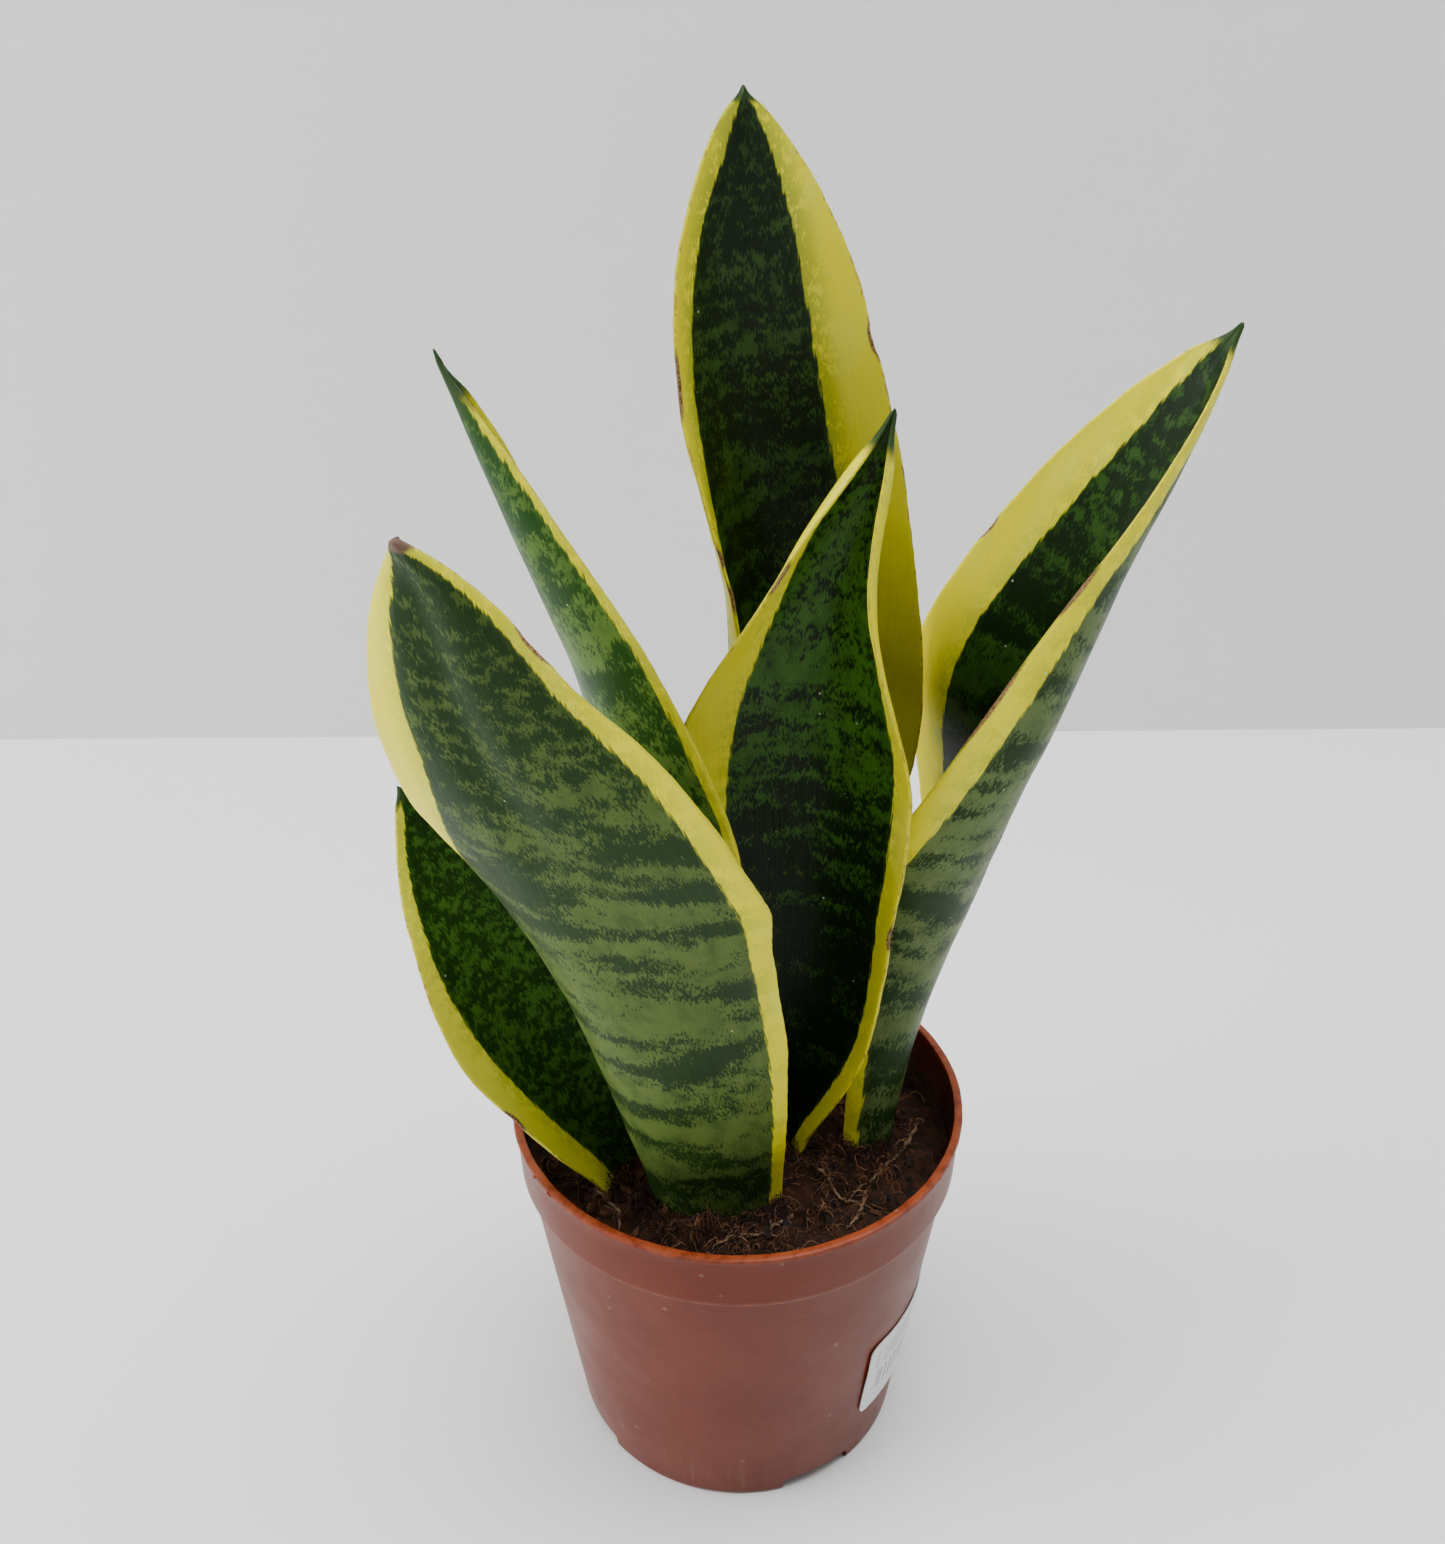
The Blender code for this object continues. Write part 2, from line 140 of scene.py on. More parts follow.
class Workshop:
    """Common steps of modelling by operator."""

    @staticmethod
    def deselect() -> None:
        """Deselect every object and leave edit mode."""
        if bpy.context.object and bpy.context.object.mode != "OBJECT":
            bpy.ops.object.mode_set(mode="OBJECT")
        bpy.ops.object.select_all(action="DESELECT")

    @staticmethod
    def activate(obj: bpy.types.Object) -> None:
        """Select one object alone and make it active."""
        Workshop.deselect()
        obj.select_set(True)
        bpy.context.view_layer.objects.active = obj

    @staticmethod
    def apply(obj: bpy.types.Object, modifier: bpy.types.Modifier) -> None:
        """Apply one modifier."""
        Workshop.activate(obj)
        bpy.ops.object.modifier_apply(modifier=modifier.name)

    @staticmethod
    def grid(name: str, columns: int, rows: int) -> bpy.types.Object:
        """Add a grid primitive that spans -1 to 1 both ways.

        Args:
            name: the new object's name.
            columns: steps along X.
            rows: steps along Y.

        Returns:
            The grid.
        """
        Workshop.deselect()
        bpy.ops.mesh.primitive_grid_add(x_subdivisions=columns, y_subdivisions=rows, size=2.0)
        obj = bpy.context.object
        obj.name = name
        obj.data.name = name
        return obj

    @staticmethod
    def settle(obj: bpy.types.Object) -> None:
        """Move an object's place into its mesh."""
        Workshop.activate(obj)
        bpy.ops.object.transform_apply(location=True, rotation=True, scale=True)

    @staticmethod
    def weld(obj: bpy.types.Object, distance: float = 1e-6) -> None:
        """Merge doubled points and turn the faces outward.

        Args:
            obj: the object.
            distance: how close two points must be, in metres.
        """
        Workshop.activate(obj)
        bpy.ops.object.mode_set(mode="EDIT")
        bpy.ops.mesh.select_all(action="SELECT")
        bpy.ops.mesh.remove_doubles(threshold=distance)
        bpy.ops.mesh.normals_make_consistent(inside=False)
        bpy.ops.object.mode_set(mode="OBJECT")

    @staticmethod
    def shade(obj: bpy.types.Object, angle: float) -> None:
        """Shade smooth except where faces meet at more than an angle in degrees."""
        Workshop.activate(obj)
        bpy.ops.object.shade_smooth_by_angle(angle=math.radians(angle))

    @staticmethod
    def seal(obj: bpy.types.Object, close: Callable[[], object], distance: float = 2e-6) -> None:
        """Weld a wrapped grid's seam and close its two open ends.

        Args:
            obj: the wrapped grid.
            close: operator that closes the open edges.
            distance: how close two points must be to weld, in metres.
        """
        Workshop.weld(obj, distance)
        Workshop.activate(obj)
        bpy.ops.object.mode_set(mode="EDIT")
        bpy.ops.mesh.select_all(action="DESELECT")
        bpy.ops.mesh.select_mode(type="EDGE")
        bpy.ops.mesh.select_non_manifold()
        close()
        bpy.ops.mesh.select_all(action="SELECT")
        bpy.ops.mesh.normals_make_consistent(inside=False)
        bpy.ops.object.mode_set(mode="OBJECT")

    @staticmethod
    def dress(obj: bpy.types.Object, finish: bpy.types.Material, angle: float) -> None:
        """Give a piece its only material and its shading.

        Args:
            obj: the piece.
            finish: its material.
            angle: faces that meet at more than this stay sharp, degrees.
        """
        while obj.data.uv_layers:
            obj.data.uv_layers.remove(obj.data.uv_layers[0])
        obj.data.materials.clear()
        obj.data.materials.append(finish)
        Workshop.shade(obj, angle)

    @staticmethod
    def cells(obj: bpy.types.Object, columns: int, rows: int) -> tuple[np.ndarray, np.ndarray]:
        """Find the column and the row of every point of a fresh grid.

        Args:
            obj: the grid.
            columns: steps along X.
            rows: steps along Y.

        Returns:
            Columns and rows, counted from 0.
        """
        co = (Workshop.points(obj) + 1.0) / 2.0
        return np.rint(co[:, 0] * columns).astype(int), np.rint(co[:, 1] * rows).astype(int)

    @staticmethod
    def from_lists(
        name: str, mesh_name: str, points: list, faces: list, finish: bpy.types.Material
    ) -> bpy.types.Object:
        """Make an object from points and faces.

        Args:
            name: the object's name.
            mesh_name: its mesh's name.
            points: points in metres.
            faces: faces as rows of point numbers.
            finish: its material.

        Returns:
            The object.
        """
        mesh = bpy.data.meshes.new(mesh_name)
        mesh.from_pydata(points, [], faces)
        mesh.materials.append(finish)
        obj = bpy.data.objects.new(name, mesh)
        bpy.context.scene.collection.objects.link(obj)
        return obj

    @staticmethod
    def points(obj: bpy.types.Object) -> np.ndarray:
        """Read an object's points as an array of rows."""
        co = np.zeros(len(obj.data.vertices) * 3)
        obj.data.vertices.foreach_get("co", co)
        return co.reshape(-1, 3)

    @staticmethod
    def place_points(obj: bpy.types.Object, points: np.ndarray) -> None:
        """Write an object's points from an array of rows."""
        obj.data.vertices.foreach_set("co", np.asarray(points, float).ravel())
        obj.data.update()

    @staticmethod
    def mark(obj: bpy.types.Object, name: str, values: np.ndarray) -> None:
        """Store a number or a vector on every point.

        Args:
            obj: the object.
            name: attribute name, read by the materials.
            values: one number or one row of three for each point.
        """
        values = np.asarray(values, float)
        if values.ndim == 1:
            obj.data.attributes.new(name, "FLOAT", "POINT").data.foreach_set("value", values)
        else:
            obj.data.attributes.new(name, "FLOAT_VECTOR", "POINT").data.foreach_set("vector", values.ravel())

    @staticmethod
    def hand_over(obj: bpy.types.Object, slot: str, *nodes: str) -> None:
        """Fix a finished piece to the frame and report it.

        Args:
            obj: the finished piece.
            slot: material slot name; not used.
            nodes: solids that the piece stands for.
        """
        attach(obj, "root")
        if nodes:
            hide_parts(*nodes)
        LOG.info("%s: %d points, %d faces", obj.name, len(obj.data.vertices), len(obj.data.polygons))


# ---------------------------------------------------------------- materials


class NodeSheet:
    """A thin wrapper round a node tree that keeps material code readable."""

    def __init__(self, tree: bpy.types.NodeTree) -> None:
        """Start on a tree."""
        self.tree = tree

    def node(self, kind: str, **settings: object) -> bpy.types.Node:
        """Add a node and set its own properties.

        Args:
            kind: Blender's node type name.
            settings: properties of the node itself.

        Returns:
            The node.
        """
        made = self.tree.nodes.new(kind)
        for key, value in settings.items():
            setattr(made, key, value)
        return made

    def put(self, socket: bpy.types.NodeSocket, value: object) -> None:
        """Link a socket, or set its value, into an input."""
        if isinstance(value, bpy.types.NodeSocket):
            self.tree.links.new(value, socket)
        elif isinstance(value, tuple) and len(value) == 3 and socket.type == "RGBA":
            socket.default_value = (*value, 1.0)
        else:
            socket.default_value = value

    def math(self, operation: str, a: object, b: object = 0.0, c: object = 0.0) -> bpy.types.NodeSocket:
        """Do one sum on numbers.

        Args:
            operation: Math node operation.
            a: first value or socket.
            b: second value or socket.
            c: third value or socket.

        Returns:
            The result socket.
        """
        made = self.node("ShaderNodeMath", operation=operation)
        for socket, value in zip(made.inputs, (a, b, c)):
            self.put(socket, value)
        return made.outputs[0]

    def times(self, a: object, b: object) -> bpy.types.NodeSocket:
        """Multiply two values or sockets."""
        return self.math("MULTIPLY", a, b)

    def plus(self, a: object, b: object) -> bpy.types.NodeSocket:
        """Add two values or sockets."""
        return self.math("ADD", a, b)

    def minus(self, a: object, b: object) -> bpy.types.NodeSocket:
        """Take the second value or socket from the first."""
        return self.math("SUBTRACT", a, b)

    def ease(self, value: object, low: object, high: object) -> bpy.types.NodeSocket:
        """Ease a value from 0 at low to 1 at high.

        Args:
            value: value or socket.
            low: where the result is 0.
            high: where the result is 1.

        Returns:
            The result socket.
        """
        made = self.node("ShaderNodeMapRange", interpolation_type="SMOOTHSTEP")
        for key, what in (("Value", value), ("From Min", low), ("From Max", high)):
            self.put(made.inputs[key], what)
        return made.outputs["Result"]

    def blend(self, amount: object, a: object, b: object, how: str = "MIX") -> bpy.types.NodeSocket:
        """Blend two colours.

        Args:
            amount: 0 gives a and 1 gives b.
            a: colour or socket.
            b: colour or socket.
            how: blend mode.

        Returns:
            The colour socket.
        """
        made = self.node("ShaderNodeMix", data_type="RGBA", blend_type=how)
        made.clamp_factor = True
        self.put(made.inputs[0], amount)
        self.put(made.inputs[6], a)
        self.put(made.inputs[7], b)
        return made.outputs[2]

    def stretch(self, vector: object, scale: Colour, shift: object = (0.0, 0.0, 0.0)) -> bpy.types.NodeSocket:
        """Scale a vector and then shift it.

        Args:
            vector: vector socket.
            scale: factor along each axis.
            shift: shift after scaling, values or a socket.

        Returns:
            The vector socket.
        """
        made = self.node("ShaderNodeVectorMath", operation="MULTIPLY_ADD")
        for socket, value in zip(made.inputs, (vector, scale, shift)):
            self.put(socket, value)
        return made.outputs[0]

    def noise(
        self, vector: object, scale: object, detail: float = 2.0, rough: float = 0.5
    ) -> bpy.types.NodeSocket:
        """Read a noise pattern.

        Args:
            vector: vector socket.
            scale: scale, value or socket.
            detail: octaves.
            rough: strength of the finer octaves.

        Returns:
            The noise value socket.
        """
        made = self.node("ShaderNodeTexNoise")
        for key, what in (("Vector", vector), ("Scale", scale), ("Detail", detail), ("Roughness", rough)):
            self.put(made.inputs[key], what)
        return made.outputs["Fac"]

    def attribute(self, name: str, output: str = "Fac") -> bpy.types.NodeSocket:
        """Read a value stored on the points."""
        return self.node("ShaderNodeAttribute", attribute_name=name).outputs[output]

    def object_place(self) -> bpy.types.NodeSocket:
        """Read the place on the object, in metres."""
        return self.node("ShaderNodeTexCoord").outputs["Object"]

    def group(self, tree: bpy.types.NodeTree, **values: object) -> bpy.types.Node:
        """Place a node group with its inputs set.

        Args:
            tree: the group's tree.
            values: inputs by name, with underscores for spaces.

        Returns:
            The group node.
        """
        made = self.node("ShaderNodeGroup", node_tree=tree)
        for key, value in values.items():
            self.put(made.inputs[key.replace("_", " ")], value)
        return made

    def bump(
        self, height: bpy.types.NodeSocket, distance: float, strength: float = 1.0, under: object = None
    ):
        """Turn a height into a normal.

        Args:
            height: height socket.
            distance: height of 1, in metres.
            strength: share of the effect.
            under: a normal below this one.

        Returns:
            The normal socket.
        """
        made = self.node("ShaderNodeBump")
        made.inputs["Distance"].default_value = distance
        made.inputs["Strength"].default_value = strength
        self.put(made.inputs["Height"], height)
        if under is not None:
            self.put(made.inputs["Normal"], under)
        return made.outputs["Normal"]


class Effects:
    """Shader groups that several materials share, each built once."""

    _made: dict[str, bpy.types.NodeTree] = {}

    @classmethod
    def _start(cls, name: str, inputs: dict[str, tuple[str, object]], outputs: dict[str, str]) -> tuple:
        """Make an empty group with its sockets.

        Args:
            name: the group's name.
            inputs: name to socket kind and default value.
            outputs: name to socket kind.

        Returns:
            The sheet, the group input node and the group output node.
        """
        tree = bpy.data.node_groups.new(name, "ShaderNodeTree")
        for key, (kind, value) in inputs.items():
            made = tree.interface.new_socket(name=key, in_out="INPUT", socket_type=kind)
            if value is not None:
                made.default_value = value
        for key, kind in outputs.items():
            tree.interface.new_socket(name=key, in_out="OUTPUT", socket_type=kind)
        cls._made[name] = tree
        sheet = NodeSheet(tree)
        return sheet, sheet.node("NodeGroupInput"), sheet.node("NodeGroupOutput")

    @classmethod
    def banding(cls) -> bpy.types.NodeTree:
        """Make the transverse jagged bands of the leaf.

        Returns:
            A group that puts out a pale mask and a streak value from the place on the blade in cm.
        """
        if "leaf_banding" in cls._made:
            return cls._made["leaf_banding"]
        sheet, given, out = cls._start(
            "leaf_banding",
            {
                "Blade": ("NodeSocketVector", None),
                "Pale": ("NodeSocketFloat", 0.5),
                "Tooth": ("NodeSocketFloat", 0.3),
                "Spacing": ("NodeSocketFloat", 1.0),
                "Bands": ("NodeSocketFloat", 1.0),
                "Crispness": ("NodeSocketFloat", 0.04),
            },
            {"Mask": "NodeSocketFloat", "Streak": "NodeSocketFloat", "Drift": "NodeSocketFloat"},
        )
        blade = given.outputs["Blade"]
        streak = sheet.noise(sheet.stretch(blade, (15.0, 1.7, 1.0)), 1.0, 3.0, 0.6)
        drift = sheet.noise(sheet.stretch(blade, (0.5, 0.3, 1.0)), 1.0, 2.0, 0.5)
        bow = sheet.times(sheet.minus(drift, 0.5), 0.7)
        reach = sheet.times(sheet.minus(streak, 0.5), given.outputs["Tooth"])
        lift = sheet.node("ShaderNodeCombineXYZ")
        sheet.put(lift.inputs["Y"], sheet.plus(reach, bow))
        moved = sheet.node("ShaderNodeVectorMath", operation="ADD")
        sheet.put(moved.inputs[0], blade)
        sheet.put(moved.inputs[1], lift.outputs[0])
        spacing = given.outputs["Spacing"]
        wide = sheet.noise(sheet.stretch(moved.outputs[0], (0.30, 1.25, 1.0)), spacing, 1.0, 0.5)
        patch = sheet.noise(sheet.stretch(moved.outputs[0], (2.6, 3.6, 1.0)), spacing, 2.0, 0.6)
        teeth = sheet.noise(sheet.stretch(blade, (21.0, 7.5, 1.0)), 1.0, 3.5, 0.7)
        clumps = sheet.math("MULTIPLY_ADD", given.outputs["Bands"], -0.55, 1.0)
        mixed = sheet.times(sheet.minus(wide, 0.5), given.outputs["Bands"])
        mixed = sheet.plus(mixed, sheet.times(sheet.minus(patch, 0.5), clumps))
        mixed = sheet.plus(mixed, sheet.math("MULTIPLY_ADD", teeth, 0.75, 0.125))
        middle = sheet.math("MULTIPLY_ADD", given.outputs["Pale"], -0.40, 0.70)
        low = sheet.minus(middle, given.outputs["Crispness"])
        high = sheet.plus(middle, given.outputs["Crispness"])
        sheet.put(out.inputs["Mask"], sheet.ease(mixed, low, high))
        sheet.put(out.inputs["Streak"], streak)
        sheet.put(out.inputs["Drift"], drift)
        return cls._made["leaf_banding"]

    @classmethod
    def flecks(cls) -> bpy.types.NodeTree:
        """Make scattered small spots.

        Returns:
            A group that puts out a mask of rare round spots.
        """
        if "flecks" in cls._made:
            return cls._made["flecks"]
        sheet, given, out = cls._start(
            "flecks",
            {
                "Place": ("NodeSocketVector", None),
                "Scale": ("NodeSocketFloat", 3.0),
                "Size": ("NodeSocketFloat", 0.08),
                "Share": ("NodeSocketFloat", 0.3),
            },
            {"Mask": "NodeSocketFloat"},
        )
        cells = sheet.node("ShaderNodeTexVoronoi")
        sheet.put(cells.inputs["Vector"], given.outputs["Place"])
        sheet.put(cells.inputs["Scale"], given.outputs["Scale"])
        split = sheet.node("ShaderNodeSeparateColor")
        sheet.put(split.inputs[0], cells.outputs["Color"])
        chosen = sheet.math("LESS_THAN", split.outputs[0], given.outputs["Share"])
        size = sheet.times(given.outputs["Size"], sheet.plus(split.outputs[1], 0.35))
        near = sheet.minus(1.0, sheet.ease(cells.outputs["Distance"], sheet.times(size, 0.6), size))
        sheet.put(out.inputs["Mask"], sheet.times(chosen, near))
        return cls._made["flecks"]

    @classmethod
    def mottling(cls) -> bpy.types.NodeTree:
        """Make a cloudy shift of a colour with fine grain.

        Returns:
            A group that puts out the shifted colour, a roughness and a grain height.
        """
        if "mottling" in cls._made:
            return cls._made["mottling"]
        sheet, given, out = cls._start(
            "mottling",
            {
                "Place": ("NodeSocketVector", None),
                "Base": ("NodeSocketColor", (0.5, 0.5, 0.5, 1.0)),
                "Other": ("NodeSocketColor", (0.4, 0.4, 0.4, 1.0)),
                "Cloud Scale": ("NodeSocketFloat", 40.0),
                "Grain Scale": ("NodeSocketFloat", 900.0),
                "Amount": ("NodeSocketFloat", 0.5),
                "Rough Low": ("NodeSocketFloat", 0.35),
                "Rough High": ("NodeSocketFloat", 0.5),
            },
            {"Color": "NodeSocketColor", "Rough": "NodeSocketFloat", "Grain": "NodeSocketFloat"},
        )
        cloud = sheet.noise(given.outputs["Place"], given.outputs["Cloud Scale"], 4.0, 0.55)
        grain = sheet.noise(given.outputs["Place"], given.outputs["Grain Scale"], 3.0, 0.6)
        share = sheet.times(sheet.ease(cloud, 0.35, 0.7), given.outputs["Amount"])
        tinted = sheet.blend(share, given.outputs["Base"], given.outputs["Other"])
        dark = sheet.times(sheet.minus(grain, 0.5), 0.25)
        sheet.put(out.inputs["Color"], sheet.blend(sheet.math("ABSOLUTE", dark), tinted, (0.0, 0.0, 0.0)))
        span = sheet.node("ShaderNodeMapRange")
        for key, what in (
            ("Value", cloud),
            ("From Min", 0.3),
            ("From Max", 0.7),
            ("To Min", given.outputs["Rough Low"]),
            ("To Max", given.outputs["Rough High"]),
        ):
            sheet.put(span.inputs[key], what)
        sheet.put(out.inputs["Rough"], span.outputs["Result"])
        sheet.put(out.inputs["Grain"], grain)
        return cls._made["mottling"]


class Finish:
    """Base of every finish: a material whose shader is a Principled BSDF."""

    @staticmethod
    def start(name: str) -> tuple[bpy.types.Material, NodeSheet, bpy.types.Node]:
        """Make a material with only its output and its shader.

        Args:
            name: the material's name.

        Returns:
            The material, its sheet and its Principled shader.
        """
        made = bpy.data.materials.new(name)
        made.use_nodes = True
        shader = made.node_tree.nodes["Principled BSDF"]
        return made, NodeSheet(made.node_tree), shader


@dataclass(frozen=True)
class BladeFinish(Finish):
    """Waxy leaf skin: banded green centre, yellow margins, brown scars.

    Attributes:
        name: material name.
        inner_dark_and_shade: ground of the channel side, partly the leaf's own dark green and partly painted
            shade inside the channel.
        inner_pale: bands of the channel side.
        outer_dark: ground of the outer side.
        outer_pale: bands of the outer side.
        yellow: main margin colour, brightened above its own colour as painted light shining through the thin
            margin.
        cream: paler margin colour, brightened the same way as painted light through the margin.
        tip: colour of the last millimetres.
        tip_reach: how far the tip colour comes down, cm.
        tooth: how far the streaks pull the bands along the leaf, cm.
        spacing: band frequency.
        bands: how much the pattern keeps to bands, 0 for blotches.
        blush: how much pale green lies in the margins.
    """

    name: str
    inner_dark_and_shade: Colour = (0.003, 0.011, 0.002)
    inner_pale: Colour = (0.030, 0.085, 0.010)
    outer_dark: Colour = (0.008, 0.028, 0.005)
    outer_pale: Colour = (0.095, 0.150, 0.032)
    yellow: Colour = (0.84, 0.75, 0.004)
    cream: Colour = (0.82, 0.77, 0.05)
    tip: Colour = (0.03, 0.06, 0.018)
    tip_reach: float = 0.5
    tooth: float = 0.55
    spacing: float = 1.0
    bands: float = 1.0
    blush: float = 0.35

    def build(self) -> bpy.types.Material:
        """Build the material.

        Returns:
            The leaf material.
        """
        made, sheet, shader = self.start(self.name)
        blade = sheet.attribute("blade", "Vector")
        face = sheet.ease(sheet.attribute("face"), 0.35, 0.65)
        green = sheet.attribute("green")
        rim = sheet.attribute("rim_gap")
        tip_gap = sheet.attribute("tip_gap")
        reach = sheet.times(sheet.ease(tip_gap, 1.0, 10.0), self.bands)
        bands = sheet.group(
            Effects.banding(), Blade=blade, Pale=sheet.attribute(
                "pale"
            ), Tooth=self.tooth, Spacing=self.spacing, Bands=reach
        )
        mask, streak, drift = (bands.outputs[k] for k in ("Mask", "Streak", "Drift"))

        # The channel side's dark ground is partly painted shade inside the channel.
        dark = sheet.blend(face, self.outer_dark, self.inner_dark_and_shade)
        pale = sheet.blend(face, self.outer_pale, self.inner_pale)
        uneven = sheet.noise(sheet.stretch(blade, (2.2, 1.4, 1.0)), 1.0, 4.0, 0.6)
        pale = sheet.blend(sheet.times(sheet.ease(uneven, 0.4, 0.75), 0.45), pale, dark)
        pale = sheet.blend(sheet.ease(sheet.attribute("pale"), 0.05, 0.6), sheet.blend(0.6, pale, dark), pale)
        haze = sheet.noise(sheet.stretch(blade, (22.0, 1.2, 1.0)), 1.0, 2.0, 0.5)
        centre = sheet.blend(mask, dark, pale)
        centre = sheet.blend(sheet.times(haze, 0.16), centre, pale)

        cloud = sheet.noise(sheet.stretch(blade, (1.6, 0.5, 1.0)), 1.0, 3.0, 0.6)
        lines = sheet.noise(sheet.stretch(blade, (34.0, 0.8, 1.0)), 1.0, 2.0, 0.5)
        # The margin colours are partly the real yellow and partly painted light shining through the thin
        # margin.
        margin = sheet.blend(sheet.ease(cloud, 0.44, 0.74), self.yellow, self.cream)
        margin = sheet.blend(sheet.times(lines, 0.22), margin, (0.42, 0.40, 0.012))
        near_green = sheet.ease(green, -7.0, -0.4)
        freckle = sheet.times(sheet.minus(1.0, mask), near_green)
        margin = sheet.blend(sheet.times(freckle, self.blush), margin, (0.26, 0.33, 0.03))
        border = sheet.plus(green, sheet.times(sheet.minus(streak, 0.5), 2.6))
        colour = sheet.blend(sheet.ease(border, -0.25, 0.35), margin, centre)
        halo = sheet.times(sheet.ease(border, 1.6, 0.1), sheet.ease(border, -0.2, 0.2))
        colour = sheet.blend(sheet.times(halo, 0.35), colour, pale)

        chips = sheet.noise(sheet.stretch(blade, (8.0, 2.6, 1.0)), 1.0, 3.0, 0.65)
        hairline = sheet.times(sheet.ease(rim, 0.55, 0.15), sheet.ease(chips, 0.5, 0.62))
        colour = sheet.blend(sheet.times(hairline, 0.7), colour, (0.30, 0.17, 0.07))
        crumb = sheet.noise(sheet.stretch(blade, (26.0, 18.0, 1.0)), 1.0, 3.0, 0.7)
        scar = sheet.ease(
            sheet.plus(sheet.attribute("scar"), sheet.math("MULTIPLY_ADD", crumb, 0.9, -0.45)), 0.4, 0.62
        )
        colour = sheet.blend(
            scar, colour, sheet.blend(sheet.ease(crumb, 0.4, 0.6), (0.11, 0.045, 0.018), (0.42, 0.27, 0.12))
        )
        end = sheet.ease(
            sheet.plus(
                tip_gap, sheet.math("MULTIPLY_ADD", streak, 0.3, -0.15)
            ), self.tip_reach, self.tip_reach * 0.55
        )
        colour = sheet.blend(end, colour, self.tip)
        specks = sheet.group(Effects.flecks(), Place=blade, Scale=2.1, Size=0.055, Share=0.5).outputs[0]
        colour = sheet.blend(sheet.times(specks, 0.75), colour, (0.55, 0.60, 0.48))
        sheet.put(shader.inputs["Base Color"], colour)

        dull = sheet.math("MULTIPLY_ADD", uneven, 0.22, 0.26)
        dull = sheet.plus(dull, sheet.times(sheet.minus(1.0, face), 0.05))
        dull = sheet.math("MAXIMUM", dull, sheet.times(scar, 0.85))
        sheet.put(shader.inputs["Roughness"], sheet.math("MAXIMUM", dull, sheet.times(specks, 0.8)))
        shader.inputs["Specular IOR Level"].default_value = 0.11
        grooves = sheet.noise(sheet.stretch(blade, (24.0, 0.7, 1.0)), 1.0, 2.0, 0.5)
        pores = sheet.noise(sheet.stretch(blade, (60.0, 60.0, 1.0)), 1.0, 2.0, 0.5)
        height = sheet.plus(sheet.times(grooves, 0.6), sheet.times(pores, 0.12))
        height = sheet.minus(height, sheet.times(scar, 1.2))
        height = sheet.plus(height, sheet.times(drift, 0.8))
        sheet.put(shader.inputs["Normal"], sheet.bump(height, 0.00016))
        return made


